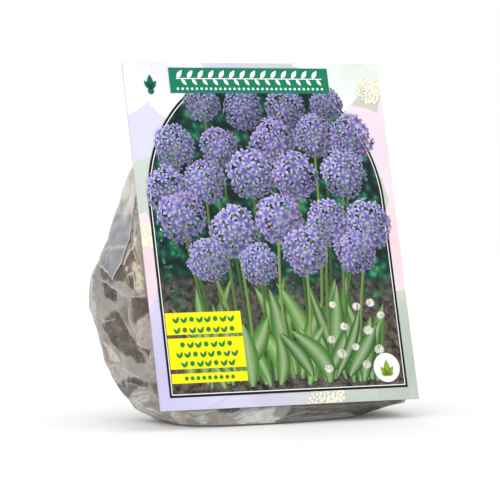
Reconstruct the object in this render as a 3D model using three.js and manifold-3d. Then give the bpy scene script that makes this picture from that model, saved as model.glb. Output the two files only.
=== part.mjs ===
// A retail bag of small flower bulbs: fifteen bulbs bedded in dry peat inside a clear
// film pouch, with a stiff printed card bonded to the pouch's sloping front.
// Millimetres, +Z up. The front faces -Y and the filled pouch stands on its flat base.
import * as THREE from "three";
import Module from "manifold-3d";
import { mergeVertices } from "three/addons/utils/BufferGeometryUtils.js";

const wasm = await Module();
wasm.setup();

// The card: a stiff portrait sheet that leans back on the pouch.
const CARD_WIDTH = 165;
const CARD_HEIGHT = 200;
const CARD_THICKNESS = 0.5;
const CARD_LEAN = THREE.MathUtils.degToRad(14.65);
const CARD_FOOT = 11; // the lower edge, over the surface that the pouch stands on

// Strips of transfer adhesive between card and film.
const GLUE_THICKNESS = 0.3;
const GLUE_BAND = 14;
const GLUE_INSET = 20; // the strips stay this far inside the card's side edges
const GLUE_HEIGHTS = [26, 158]; // centre of each strip, measured up the card

// The pouch: how far its level sections reach left, right and back, from the base to the
// flat mouth.
const FILM_THICKNESS = 0.6;
const FIT_GAP = 0.3; // running gap between neighbouring pieces
const MOUTH_HEIGHT = 187;
const BASE_SETBACK = 4; // how far the base starts behind the card's lower edge
const CORNER_POWER = 0.5; // 1 gives an ellipse, 0 a rectangle
const SECTION_SIDES = 40;
const STATIONS = [
  { height: 0, left: 60, right: 50, back: 66 },
  { height: 5, left: 70, right: 75, back: 74 },
  { height: 12, left: 78, right: 88, back: 81 },
  { height: 25, left: 84, right: 92, back: 87 },
  { height: 45, left: 89, right: 93, back: 92 },
  { height: 70, left: 94, right: 93, back: 95 },
  { height: 88, left: 88.5, right: 89, back: 94 },
  { height: 114, left: 78, right: 79, back: 86 },
  { height: 131, left: 73, right: 74, back: 77 },
  { height: 149, left: 69, right: 70, back: 67 },
  { height: 168, left: 64, right: 65, back: 56 },
  { height: MOUTH_HEIGHT, left: 57, right: 57, back: 50.5 },
];
const LEVELS = [0, 5, 12, 25, 35, 45, 57, 70, 79, 88, 101, 114, 131, 149, 168, 187];

// The base curls up at its right front corner.
const CURL_DEPTH = 20;
const CURL_TOP = 10;
const CURL_FROM = -30;
const CURL_TO = 60;

// Crinkles: flats pushed in between raised folds, on the flanks and the back.
const CRINKLE_DEPTH = 3.4;
const CRINKLES = [
  { around: 5, rise: 0.071, phase: 0.6, share: 0.55 },
  { around: 8, rise: -0.052, phase: 2.1, share: 0.3 },
  { around: 3, rise: 0.128, phase: 4.0, share: 0.15 },
];

// The ear: the pouch's folded corner, a doubled strip of film down the left flank.
const EAR_LIFT = 1.6;
const EAR_LOW = 84;
const EAR_HIGH = 150;
const EAR_MIDDLE = Math.PI * 0.93; // round the section, where PI is the left side
const EAR_REACH = 0.26;

// The peat fill and the bulbs.
const FILL_TOP = 118;
const FILL_SHOULDER = 104; // the fill mounds over from here
const BULB_RADIUS = 12; // about 75 mm round, a size 7/8 bulb
const BULB_LENGTH = 29;
const BULB_SIDES = 10;
const DISH_RADIUS = 8.5;
const DISH_DEPTH = 2.4;
const RINGS = [
  { height: 18, angles: [1.18, 1.42, 1.68, 0.12, 0.55] },
  { height: 51, angles: [0.97, 1.25, 1.7, 0.03, 0.46] },
  { height: 84, angles: [0.84, 1.14, 1.5, 1.86, 0.4] },
];

const filmColour = new THREE.MeshStandardMaterial({
  color: 0xb9b5b0,
  roughness: 0.2,
  metalness: 0,
  transparent: true,
  opacity: 0.4,
});
const peatColour = new THREE.MeshStandardMaterial({ color: 0x6b5a4b, roughness: 0.95 });
const bulbColour = new THREE.MeshStandardMaterial({ color: 0xb59470, roughness: 0.6 });
const cardColour = new THREE.MeshStandardMaterial({ color: 0xd9d8ea, roughness: 0.35 });
const glueColour = new THREE.MeshStandardMaterial({ color: 0xe6e2d4, roughness: 0.5 });

// A small seeded generator, so that every build is the same.
function seeded(seed) {
  let state = seed;
  return () => {
    state = (state * 1664525 + 1013904223) % 4294967296;
    return state / 4294967296;
  };
}

function toSolid(geometry) {
  const bare = geometry.clone();
  bare.deleteAttribute("normal");
  bare.deleteAttribute("uv");
  const merged = mergeVertices(bare, 1e-4);
  return new wasm.Manifold(
    new wasm.Mesh({
      numProp: 3,
      vertProperties: merged.attributes.position.array,
      triVerts: new Uint32Array(merged.index.array),
    }),
  );
}

function toMesh(name, solid, material) {
  const shape = solid.getMesh();
  const geometry = new THREE.BufferGeometry();
  geometry.setAttribute("position", new THREE.BufferAttribute(shape.vertProperties, 3));
  geometry.setIndex(new THREE.BufferAttribute(shape.triVerts, 1));
  geometry.computeVertexNormals();
  const mesh = new THREE.Mesh(geometry, material);
  mesh.name = name;
  return mesh;
}

// The value of one field at a height, between the two stations around it.
function stationValue(height, field) {
  const last = STATIONS.length - 1;
  let i = 0;
  while (i < last - 1 && STATIONS[i + 1].height < height) i += 1;
  const low = STATIONS[i];
  const high = STATIONS[i + 1];
  const share = (height - low.height) / (high.height - low.height);
  return THREE.MathUtils.lerp(low[field], high[field], THREE.MathUtils.clamp(share, 0, 1));
}

// The pouch's front lies behind the card and its adhesive, and curls under at the base.
function frontOf(height) {
  const clearance =
    (CARD_THICKNESS + GLUE_THICKNESS + 2 * FIT_GAP) / Math.cos(CARD_LEAN);
  const plane = (height - CARD_FOOT) * Math.tan(CARD_LEAN) + clearance;
  if (height >= CARD_FOOT) return plane;
  return THREE.MathUtils.lerp(BASE_SETBACK, clearance, height / CARD_FOOT);
}

// How far the film is pushed in at an angle and height. The face behind the card, the
// base and the mouth stay flat.
function crinkle(angle, height) {
  const flank = THREE.MathUtils.smoothstep(Math.sin(angle), -0.75, -0.35);
  const low = THREE.MathUtils.smoothstep(height, 4, 30);
  const high = 1 - THREE.MathUtils.smoothstep(height, 130, 175);
  let fold = 0;
  for (const wave of CRINKLES) {
    const phase = wave.around * angle + wave.rise * height + wave.phase;
    fold += wave.share * Math.abs(Math.sin(phase));
  }
  return -CRINKLE_DEPTH * flank * low * high * (1 - fold);
}

function earLift(angle, height) {
  const across = Math.abs(angle - EAR_MIDDLE) < EAR_REACH;
  const along = height > EAR_LOW && height < EAR_HIGH;
  return across && along ? EAR_LIFT : 0;
}

// How far the front of the base lies back at its right corner.
function baseCurl(x, height) {
  const low = Math.max(0, 1 - height / CURL_TOP);
  return CURL_DEPTH * low * THREE.MathUtils.smoothstep(x, CURL_FROM, CURL_TO);
}

// One level loop of the pouch, taken in by inset from its outer face. Low down, where the
// wall curls under, it is raised by the inset as well.
function sectionLoop(height, inset, withEar) {
  const left = stationValue(height, "left") - inset;
  const right = stationValue(height, "right") - inset;
  const front = frontOf(height) + inset;
  const back = stationValue(height, "back") - inset;
  const middle = (front + back) / 2;
  const depth = (back - front) / 2;
  const raise = inset * (1 - THREE.MathUtils.smoothstep(height, 20, 60));
  const loop = [];
  for (let i = 0; i < SECTION_SIDES; i += 1) {
    const angle = (2 * Math.PI * i) / SECTION_SIDES;
    const c = Math.cos(angle);
    const s = Math.sin(angle);
    const x = (c > 0 ? right : -left) * Math.abs(c) ** CORNER_POWER;
    const across = Math.abs(s) ** CORNER_POWER;
    const y = s > 0 ? depth * across : across * (baseCurl(x, height) - depth);
    const push = crinkle(angle, height) + (withEar ? earLift(angle, height) : 0);
    loop.push(new THREE.Vector3(x + push * c, middle + y + push * s, height + raise));
  }
  return loop;
}

// The loop of the pouch's wall at any height, on the straight lines between its levels.
function wallLoop(height, inset) {
  const above = LEVELS.findIndex((level) => level > height);
  const low = sectionLoop(LEVELS[above - 1], inset, false);
  const high = sectionLoop(LEVELS[above], inset, false);
  const share = (height - low[0].z) / (high[0].z - low[0].z);
  return low.map((p, i) => p.lerp(high[i], share));
}

// A closed body through a stack of loops, with a flat fan at each end.
function loft(loops) {
  const sides = loops[0].length;
  const positions = loops.flat();
  const indices = [];
  for (let level = 0; level + 1 < loops.length; level += 1) {
    for (let i = 0; i < sides; i += 1) {
      const a = level * sides + i;
      const b = level * sides + ((i + 1) % sides);
      indices.push(a, b, b + sides, a, b + sides, a + sides);
    }
  }
  const ends = [loops[0], loops[loops.length - 1]];
  ends.forEach((loop, end) => {
    const centre = loop.reduce((sum, p) => sum.add(p), new THREE.Vector3());
    const hub = positions.push(centre.divideScalar(sides)) - 1;
    const start = end === 0 ? 0 : (loops.length - 1) * sides;
    for (let i = 0; i < sides; i += 1) {
      const a = start + i;
      const b = start + ((i + 1) % sides);
      indices.push(...(end === 0 ? [hub, b, a] : [hub, a, b]));
    }
  });
  const geometry = new THREE.BufferGeometry().setFromPoints(positions);
  geometry.setIndex(indices);
  return toSolid(geometry);
}

function filmPouch() {
  const outer = loft(LEVELS.map((height) => sectionLoop(height, 0, true)));
  const inner = LEVELS.map((height) => sectionLoop(height, FILM_THICKNESS, false));
  inner[inner.length - 1].forEach((p) => p.setZ(MOUTH_HEIGHT + 1));
  return outer.subtract(loft(inner));
}

// The space that the fill and the bulbs may take, clear of the film.
function fillSpace() {
  const inset = FILM_THICKNESS + FIT_GAP;
  const levels = LEVELS.filter((height) => height < FILL_SHOULDER - 1);
  const loops = levels.map((height) => sectionLoop(height, inset, false));
  const mound = 4;
  for (let step = 0; step < mound; step += 1) {
    const share = step / mound;
    const height = THREE.MathUtils.lerp(FILL_SHOULDER, FILL_TOP, share);
    const loop = wallLoop(height, inset);
    const centre = loop.reduce((sum, p) => sum.add(p), new THREE.Vector3());
    centre.divideScalar(loop.length);
    const spread = Math.sqrt(1 - share * share);
    loops.push(loop.map((p) => p.sub(centre).multiplyScalar(spread).add(centre)));
  }
  return loft(loops);
}

// A bulb: an ovoid with a drawn-out nose and a flat root plate.
function bulbSolid(swell, growth) {
  const outline = [
    [0, 0],
    [0.4, 0.01],
    [0.72, 0.1],
    [0.95, 0.25],
    [1, 0.4],
    [0.9, 0.56],
    [0.6, 0.73],
    [0.28, 0.87],
    [0.14, 0.97],
    [0, 1],
  ];
  const points = outline.map(
    ([r, h]) => new THREE.Vector2(r * BULB_RADIUS * growth, (h - 0.42) * BULB_LENGTH * growth),
  );
  const geometry = new THREE.LatheGeometry(points, BULB_SIDES);
  geometry.scale(swell, 1, 2 - swell);
  return toSolid(geometry);
}

// A bulb turned at random and pushed in from the pouch's wall until it lies inside.
function placeBulb(angle, height, space, random) {
  const growth = 0.93 + 0.12 * random();
  const spin = new THREE.Euler(random() * 1.6 - 0.8, random() * Math.PI, 0.5 + random() * 2);
  const turned = bulbSolid(0.95 + 0.1 * random(), growth).rotate([
    THREE.MathUtils.radToDeg(spin.x),
    THREE.MathUtils.radToDeg(spin.y),
    THREE.MathUtils.radToDeg(spin.z),
  ]);
  const middle = (frontOf(height) + stationValue(height, "back")) / 2;
  const half = stationValue(height, Math.cos(angle) > 0 ? "right" : "left");
  const depth = (stationValue(height, "back") - frontOf(height)) / 2;
  const c = Math.cos(angle);
  const s = Math.sin(angle);
  const wall = new THREE.Vector3(
    half * Math.sign(c) * Math.abs(c) ** CORNER_POWER,
    middle + depth * Math.sign(s) * Math.abs(s) ** CORNER_POWER,
    height,
  );
  const outward = new THREE.Vector3(
    (Math.sign(c) * Math.abs(c) ** (2 - CORNER_POWER)) / half,
    (Math.sign(s) * Math.abs(s) ** (2 - CORNER_POWER)) / depth,
    0,
  ).normalize();
  for (let inwards = BULB_RADIUS * 0.6; inwards < 4 * BULB_RADIUS; inwards += 0.2) {
    const place = wall.clone().addScaledVector(outward, -inwards);
    const solid = turned.translate(place.toArray());
    if (solid.subtract(space).volume() < 1e-6) return { solid, outward, growth };
  }
  throw new Error("a bulb doesn't fit the pouch");
}

// The shallow dish in the peat where a bulb's side shows at the wall.
function dishFor(bulb) {
  const { solid, outward } = bulb;
  const points = solid.getMesh();
  let reach = -Infinity;
  const touch = new THREE.Vector3();
  for (let i = 0; i < points.numVert; i += 1) {
    const p = new THREE.Vector3().fromArray(points.vertProperties, 3 * i);
    if (p.dot(outward) > reach) {
      reach = p.dot(outward);
      touch.copy(p);
    }
  }
  const geometry = new THREE.SphereGeometry(DISH_RADIUS, 10, 6);
  geometry.scale(1, 1, DISH_DEPTH / DISH_RADIUS);
  const turn = new THREE.Quaternion().setFromUnitVectors(new THREE.Vector3(0, 0, 1), outward);
  geometry.applyQuaternion(turn);
  geometry.translate(touch.x, touch.y, touch.z);
  return toSolid(geometry);
}

// The socket is the bulb grown by the gap, about its own middle.
function socketFor(bulb) {
  const box = bulb.solid.boundingBox();
  const middle = box.min.map((low, axis) => (low + box.max[axis]) / 2);
  const grow = 1 + FIT_GAP / (0.8 * BULB_RADIUS * bulb.growth);
  return bulb.solid
    .translate(middle.map((v) => -v))
    .scale(grow)
    .translate(middle);
}

function bulbsInPeat() {
  const random = seeded(15);
  const space = fillSpace();
  const bulbs = RINGS.flatMap((ring) =>
    ring.angles.map((turn) => placeBulb(turn * Math.PI, ring.height, space, random)),
  );
  let peat = space;
  for (const bulb of bulbs) {
    peat = peat.subtract(socketFor(bulb)).subtract(dishFor(bulb));
  }
  const bodies = peat.decompose().sort((a, b) => b.volume() - a.volume());
  return { bulbs, peat: bodies[0] };
}

// A flat piece in the card's own leaning plane. from is its distance behind the front.
function leaningSheet(name, width, height, thickness, up, from, material) {
  const sheet = new THREE.Mesh(new THREE.BoxGeometry(width, thickness, height), material);
  sheet.name = name;
  sheet.position.set(0, from + thickness / 2, up + height / 2);
  const plane = new THREE.Group();
  plane.position.set(0, 0, CARD_FOOT);
  plane.rotation.x = -CARD_LEAN;
  plane.add(sheet);
  return plane;
}

const pack = new THREE.Group();
pack.add(
  leaningSheet("printed_card", CARD_WIDTH, CARD_HEIGHT, CARD_THICKNESS, 0, 0, cardColour),
);
const glueFrom = CARD_THICKNESS + FIT_GAP;
const glueWidth = CARD_WIDTH - 2 * GLUE_INSET;
const glueNames = ["adhesive_strip_lower", "adhesive_strip_upper"];
GLUE_HEIGHTS.forEach((centre, i) => {
  const width = i === 0 ? glueWidth : glueWidth * 0.8;
  const up = centre - GLUE_BAND / 2;
  pack.add(
    leaningSheet(glueNames[i], width, GLUE_BAND, GLUE_THICKNESS, up, glueFrom, glueColour),
  );
});
pack.add(toMesh("film_pouch", filmPouch(), filmColour));
const { bulbs, peat } = bulbsInPeat();
pack.add(toMesh("peat_fill", peat, peatColour));
bulbs.forEach((bulb, i) => {
  const name = `bulb_${String(i + 1).padStart(2, "0")}`;
  pack.add(toMesh(name, bulb.solid, bulbColour));
});

// The frame's origin is the middle of the whole pack's footprint, on the surface.
const extent = new THREE.Box3().setFromObject(pack, true);
const middle = extent.getCenter(new THREE.Vector3());
pack.position.set(-middle.x, -middle.y, 0);

const part = new THREE.Group();
part.add(pack);
export default part;
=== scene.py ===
import math
import random

import bmesh
import bpy
from mathutils import Color, Euler, Matrix, Vector, noise
from mathutils.bvhtree import BVHTree


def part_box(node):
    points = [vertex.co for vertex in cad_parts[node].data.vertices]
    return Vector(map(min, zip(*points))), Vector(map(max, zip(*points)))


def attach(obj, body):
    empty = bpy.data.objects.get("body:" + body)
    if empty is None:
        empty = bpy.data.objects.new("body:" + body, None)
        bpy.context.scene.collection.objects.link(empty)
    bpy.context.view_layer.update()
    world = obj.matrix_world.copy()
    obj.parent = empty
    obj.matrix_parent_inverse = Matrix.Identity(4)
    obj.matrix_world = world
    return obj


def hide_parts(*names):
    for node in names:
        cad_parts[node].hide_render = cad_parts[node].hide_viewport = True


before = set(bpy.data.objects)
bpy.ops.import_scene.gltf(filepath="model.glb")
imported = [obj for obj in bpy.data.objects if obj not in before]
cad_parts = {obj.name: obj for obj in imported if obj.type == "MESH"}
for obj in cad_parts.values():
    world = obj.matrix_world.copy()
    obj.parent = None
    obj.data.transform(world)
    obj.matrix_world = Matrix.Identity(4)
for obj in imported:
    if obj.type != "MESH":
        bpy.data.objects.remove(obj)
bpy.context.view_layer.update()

# Floor, light and camera. The pack stands on a wide pale table in a white photo studio: an
# even white surround, one soft lamp high on the left, and four narrow ones that put streaks
# on the film.
card_low, card_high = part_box("printed_card")
CARD_MIDDLE = (card_low.x + card_high.x) / 2
CARD_FRONT = card_low.y


def srgb(code, alpha=1.0):
    """A hex colour as Blender's linear values."""
    shade = Color(int(code[i : i + 2], 16) / 255 for i in (1, 3, 5))
    return (*shade.from_srgb_to_scene_linear(), alpha)


def finish_named(name):
    """A new material with its node tree and Principled shader."""
    made = bpy.data.materials.new(name)
    made.use_nodes = True
    return made, made.node_tree, made.node_tree.nodes["Principled BSDF"]


def object_from(name, shape, finish, smooth=True):
    """Makes an object at the origin from a bmesh."""
    mesh = bpy.data.meshes.new(name)
    shape.to_mesh(mesh)
    shape.free()
    mesh.materials.append(finish)
    for face in mesh.polygons:
        face.use_smooth = smooth
    made = bpy.data.objects.new(name, mesh)
    bpy.context.scene.collection.objects.link(made)
    return made


# Rolled emulsion paint: an even white with no gloss, which shows only the soft shadow.
table_paint, tree, shader = finish_named("matt white table paint")
shader.inputs["Base Color"].default_value = srgb("#ffffff")
shader.inputs["Roughness"].default_value = 0.9
shape = bmesh.new()
bmesh.ops.create_circle(shape, cap_ends=True, segments=96, radius=12)
table = object_from("table_top", shape, table_paint, smooth=False)

scene = bpy.context.scene
scene.view_settings.view_transform = "Standard"
scene.world = bpy.data.worlds.new("white studio")
scene.world.use_nodes = True
surround = scene.world.node_tree.nodes["Background"]
surround.inputs["Color"].default_value = srgb("#ffffff")
surround.inputs["Strength"].default_value = 1.0

# Place, aim, size and power of each lamp, in metres and watts.
LAMPS = {
    "strip_right": ((1.4, -0.2, 0.45), (0.08, 0, 0.08), (0.1, 0.8), 2.0),
    "strip_back": ((0.5, 1.5, 0.6), (0, 0.04, 0.09), (0.1, 0.8), 2.5),
    "softbox_high_left": ((-1.3, -1.1, 1.5), (0, 0, 0.08), (0.5, 0.5), 2.0),
    "strip_left": ((-1.25, -0.25, 0.35), (-0.08, 0, 0.07), (0.1, 0.7), 2.0),
    "strip_low_front": ((-0.35, -1.5, 0.12), (-0.04, -0.04, 0.02), (0.8, 0.07), 1.5),
}
for name, (place, aim, size, power) in LAMPS.items():
    lamp = bpy.data.lights.new(name, "AREA")
    lamp.shape = "RECTANGLE"
    lamp.size, lamp.size_y = size
    lamp.energy = power
    holder = bpy.data.objects.new(name, lamp)
    holder.location = place
    holder.rotation_euler = (Vector(aim) - Vector(place)).to_track_quat("-Z", "Y").to_euler()
    scene.collection.objects.link(holder)

# The camera stands 1.7 m away to the left, a little above the pack, and looks slightly
# down. Its place and aim follow from the four corners of the card in the photograph.
VIEW_YAW = math.radians(26.9)
VIEW_PITCH = math.radians(2.62)
lens = bpy.data.cameras.new("product_view")
lens.sensor_width = 36
lens.lens = 216
camera = bpy.data.objects.new("product_view", lens)
camera.location = (CARD_MIDDLE - 0.786, CARD_FRONT - 1.496, 0.176)
camera.rotation_euler = (math.pi / 2 - VIEW_PITCH, 0, -VIEW_YAW)
scene.collection.objects.link(camera)
scene.camera = camera

# The pouch's form. A filled bag of thin film is widest low down, where the fill has settled,
# and closes to a straight welded mouth. Its front lies flat behind the card. REACH says how
# far it goes to the left, right and back at each height, in mm.
CARD_LEAN = math.radians(14.65)
CARD_FOOT = 11.0
MOUTH_HEIGHT = 187.0
FOLD_DEPTH = 3.4
REACH = (
    (0, 60, 60, 66),
    (5, 70, 85, 74),
    (12, 78, 92.5, 81),
    (25, 84.2, 93, 87),
    (45, 91.2, 93, 92),
    (70, 95.8, 93, 95),
    (88, 89.7, 89, 94),
    (114, 80.5, 79, 86),
    (131, 76.5, 74, 77),
    (149, 73, 70, 67),
    (168, 67, 65, 55),
    (180, 61.5, 60, 47.2),
    (MOUTH_HEIGHT, 59, 57, 48.0),
)


def ease(value, low, high):
    """0 below low, 1 above high, and a smooth rise between them."""
    share = min(1.0, max(0.0, (value - low) / (high - low)))
    return share * share * (3 - 2 * share)


def reach_at(height):
    """Left, right, front and back of the pouch at a height."""
    height = min(max(height, 0.0), MOUTH_HEIGHT)
    for low, high in zip(REACH, REACH[1:]):
        if height <= high[0]:
            break
    share = (height - low[0]) / (high[0] - low[0])
    left, right, back = (a + (b - a) * share for a, b in zip(low[1:], high[1:]))
    clear = 1.4 / math.cos(CARD_LEAN)
    if height >= CARD_FOOT:
        front = (height - CARD_FOOT) * math.tan(CARD_LEAN) + clear
    else:
        front = 4 + (clear - 4) * height / CARD_FOOT
    return left, right, front, back


def wall_point(turn, height, lift=0.0):
    """A point on the pouch's wall in mm: turn is its direction from the middle, with the
    section scaled to a square. The card's lower front edge is y = 0. lift is outwards."""
    left, right, front, back = reach_at(height)
    c, s = math.cos(turn), math.sin(turn)
    half = right if c > 0 else left
    middle, depth = (front + back) / 2, (back - front) / 2
    far = (c**4 + s**4) ** -0.25
    x, y = half * far * c, depth * far * s
    flat = math.atan2(math.copysign((far * s) ** 2, s), math.copysign((far * c) ** 2, c))
    # Near the floor the front right corner is rounded away by up to 14 mm.
    if y < 0:
        y += 14 * max(0.0, 1 - height / 10) * ease(x, -10, 75)
    flank = ease(math.sin(flat), -0.75, -0.35)
    # Three sets of slanting waves: how many round, how they climb, where they start, their share.
    waves = ((5, 0.071, 0.6, 0.55), (8, -0.052, 2.1, 0.3), (3, 0.128, 4.0, 0.15))
    fold = sum(share * abs(math.sin(around * flat + rise * height + phase))
               for around, rise, phase, share in waves)
    live = flank * ease(height, 4, 30) * (1 - ease(height, 130, 175))
    push = lift - FOLD_DEPTH * live * (1 - fold)
    return Vector((x + push * math.cos(flat), middle + y + push * math.sin(flat), height))


# The film's form. The bag's skin before it gets its haze: a tube drawn out ring by ring,
# closed and flat at the foot, and crumpled in finer and finer facets as stiff film is.
FILM_SIDES = 30
FILM_LEVELS = (1.0, 9, 22, 37, 52, 67, 82, 98, 114, 130, 147, 164, 178, 187)
# Each round of crumpling: how deep it is in mm, and how close its dents lie.
CRUMPLES = ((0.7, 0.37), (0.28, 0.8), (0.08, 1.7))
# Facets: their size, and how deep they are on the flank in view and elsewhere, in mm.
FACETS = ((31, 1.3, 4.4), (12, 0.3, 1.3))
draw = random.Random(21)


def drawn_out(shape, edges):
    """Extrudes a ring of edges and gives back the new ring's vertices and edges."""
    grown = bmesh.ops.extrude_edge_only(shape, edges=edges)["geom"]
    ring = [g for g in grown if isinstance(g, bmesh.types.BMVert)]
    return ring, [g for g in grown if isinstance(g, bmesh.types.BMEdge)]


bag = bmesh.new()
made = bmesh.ops.create_circle(bag, segments=FILM_SIDES, radius=1.0)
ring = sorted(made["verts"], key=lambda v: math.atan2(v.co.y, v.co.x))
foot_ring = ring
edges = list(bag.edges)
rows = []
for level, height in enumerate(FILM_LEVELS):
    if level:
        ring, edges = drawn_out(bag, edges)
    for v in ring:
        turn = math.atan2(v.co.y, v.co.x)
        v.co = Vector((math.cos(turn), math.sin(turn), height))
    rows.append(list(ring))
for level, ring in enumerate(rows):
    gap = FILM_LEVELS[min(level + 1, len(rows) - 1)] - FILM_LEVELS[max(level - 1, 0)]
    for v in sorted(ring, key=lambda v: math.atan2(v.co.y, v.co.x)):
        turn = math.atan2(v.co.y, v.co.x)
        front = ease(-math.sin(turn), 0.55, 0.75) * ease(v.co.z, 9, 14)
        loose = 0.0 if level in (0, len(rows) - 1) else 1.0
        turn += draw.uniform(-1, 1) * loose * 0.4 * 2 * math.pi / FILM_SIDES
        height = v.co.z + draw.uniform(-1, 1) * loose * 0.17 * gap
        lift = draw.uniform(-1.3, 0.9) * loose * (1 - front) * ease(height, 3, 14)
        v.co = wall_point(turn, height, lift)
bmesh.ops.contextual_create(bag, geom=foot_ring)
bmesh.ops.recalc_face_normals(bag, faces=bag.faces)
base = [f for f in bag.faces if len(f.verts) > 4]
bmesh.ops.inset_region(bag, faces=base, thickness=6, depth=0)
base = [f for f in bag.faces if len(f.verts) > 4]
for v in base[0].verts:
    v.co.z = 0.0
bmesh.ops.triangulate(bag, faces=bag.faces, quad_method="SHORT_EDGE", ngon_method="BEAUTY")
for jitter, finer in CRUMPLES:
    bmesh.ops.subdivide_edges(bag, edges=bag.edges, cuts=1, use_grid_fill=True)
    bag.normal_update()
    for v in bag.verts:
        if not v.is_boundary:
            live = ease(v.co.z, 2, 12) * (1 - ease(v.co.z, 165, 182))
            v.co += v.normal * noise.noise(v.co * finer) * jitter * live


def viewed(spot):
    """Whether a place in mm is on the flank that the camera sees."""
    return spot.x < -30 and spot.y < 62


def facet(place, size):
    """The crumpled film's facet at a place in mm: a number of its own from 0 to 1, how far
    the place is from its middle, and how near it is to a ridge, from 0 to 1 on the ridge."""
    high = place.z if place.z < 120 else 120 + 0.4 * (place.z - 120)
    bent = Vector((place.x + 0.4 * high, place.y, 0.75 * high))
    bent += 9 * noise.noise_vector(place * 0.022)
    gaps, hearts = noise.voronoi(bent / size)
    own, other = (0.5 + 0.5 * noise.cell(heart * 91.7) for heart in hearts[:2])
    # The ridge band is broad on one side and narrow on the other; it later sets a painted highlight
    # along the ridge.
    ridge = max(0.0, 1 - (gaps[1] - gaps[0]) / (0.35 if own > other else 0.08))
    shown = ease(noise.noise(place * 0.06 + Vector((0, 0, 5 * size))), -0.15, 0.35)
    return own, gaps[0], ridge * ridge * shown


noise.seed_set(4)  # without a seed, noise_vector differs from run to run
own_at = bag.verts.layers.float.new("own")
ridge_at = bag.verts.layers.float.new("ridge")
on_view = [e for e in bag.edges
           if all(viewed(v.co) and v.co.z < 150 for v in e.verts)
           or all(v.co.y < 12 and 0.5 < v.co.z < 14 for v in e.verts)]
bmesh.ops.subdivide_edges(bag, edges=on_view, cuts=1)
bmesh.ops.triangulate(bag, faces=[f for f in bag.faces if len(f.verts) > 3])
bag.normal_update()
for v in bag.verts:
    if v.is_boundary:
        continue
    behind = (v.co.y - 1.4) * math.cos(CARD_LEAN) - (v.co.z - CARD_FOOT) * math.sin(CARD_LEAN)
    live = ease(v.co.z, 2, 10) * (1 - ease(v.co.z, 168, 182)) * ease(behind, 1.5, 9)
    lift = 0
    for size, deep_in_view, deep in FACETS:
        own, gap, ridge = facet(v.co, size)
        lift += (deep_in_view if viewed(v.co) else deep) * (gap * gap - 0.24)
        large = size == FACETS[0][0]
        v[own_at] = own if large else 0.65 * v[own_at] + 0.35 * own
        v[ridge_at] = max(v[ridge_at], ridge if large else 0.7 * ridge)
    v.co += v.normal * lift * live
bmesh.ops.smooth_vert(
    bag, verts=[v for v in bag.verts if not v.is_boundary and v.co.z > 0.3],
    factor=0.4, use_axis_x=True, use_axis_y=True, use_axis_z=True,
)

# The operators leave points and faces in another order each run, so both are sorted here.
slant = Vector((0.617, 0.271, 0.739))
bag.verts.sort(key=lambda v: v.co.dot(slant))
bag.faces.sort(key=lambda f: f.calc_center_median().dot(slant))
film_tree = BVHTree.FromBMesh(bag)


def nearest_film(point):
    """The film's nearest place to a point in mm, and which way it faces there. Where facets
    meet in an edge or a corner, that is the mean of their directions."""
    spot, _, _, far = film_tree.find_nearest(point)
    meeting = film_tree.find_nearest_range(point, far + 0.001)
    out = sum((other for place, other, _, _ in meeting if (place - spot).length < 0.02), Vector())
    return spot, out.normalized()


def kept_inside(point, gap):
    """The point, in mm, moved in if it is nearer to the film than the gap or outside it."""
    spot, out = nearest_film(point)
    deep = (spot - point).dot(out)
    return point if deep > gap else spot - out * gap


# Peat fill. Dry crumbly peat is packed loosely round the bulbs. It is a broken lumpy mass,
# dark brown with paler wood fibre, touches the film only here and there, and has fallen away
# from the bulbs.
MM = Matrix.Translation((CARD_MIDDLE, CARD_FRONT, 0)) @ Matrix.Scale(0.001, 4)
BULB_PLACES = [n for n in sorted(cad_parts) if n.startswith("bulb_")]
BULB_RADIUS = 11.5
PEAT_LUMP = 0.0014
FALLEN = 5.5
bulb_hearts = []
for place_name in BULB_PLACES:
    spots = [v.co.copy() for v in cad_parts[place_name].data.vertices]
    bulb_hearts.append(MM.inverted() @ (sum(spots, Vector()) / len(spots)))
peat_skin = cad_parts["peat_fill"].data.copy()
shape = bmesh.new()
shape.from_mesh(peat_skin)
bmesh.ops.remove_doubles(shape, verts=shape.verts, dist=1e-6)
shape.to_mesh(peat_skin)
shape.free()
peat_block = bpy.data.objects.new("peat_block", peat_skin)
scene.collection.objects.link(peat_block)
crumble = peat_block.modifiers.new("crumble", "REMESH")
crumble.mode = "VOXEL"
crumble.voxel_size = PEAT_LUMP
bpy.context.view_layer.update()
ready = peat_block.evaluated_get(bpy.context.evaluated_depsgraph_get())
shape = bmesh.new()
shape.from_mesh(ready.data)
bpy.data.objects.remove(peat_block)
shape.transform(MM.inverted())
shape.normal_update()
for v in shape.verts:
    lump = noise.fractal(v.co * 0.07, 1.0, 2.0, 2)
    crumb = noise.voronoi(v.co * 0.3)[0][0]
    beside = min((v.co - heart).length for heart in bulb_hearts) - BULB_RADIUS
    # On the flank in view the peat stays packed against its bulbs.
    hollow = ease(v.co.y, 52, 62) if v.co.x < 0 else 1.0
    fallen = FALLEN * (1 - ease(beside, 1.5, 7)) * hollow
    v.co = kept_inside(v.co - v.normal * (0.5 + 1.6 * lump + 1.8 * crumb + fallen), 0.3)
peat_tree = BVHTree.FromBMesh(shape)
shape.transform(MM)


def add(tree, kind, settings=(), **inputs):
    """Adds a shader node, with its settings, its input values and its links. An input's name
    has underscores for blanks, or is _ and the input's number."""
    made = tree.nodes.new(kind)
    for name, value in dict(settings).items():
        setattr(made, name, value)
    for name, value in inputs.items():
        spot = int(name[1:]) if name[0] == "_" else name.replace("_", " ")
        if isinstance(value, bpy.types.NodeSocket):
            tree.links.new(value, made.inputs[spot])
        else:
            made.inputs[spot].default_value = value
    return made
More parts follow.
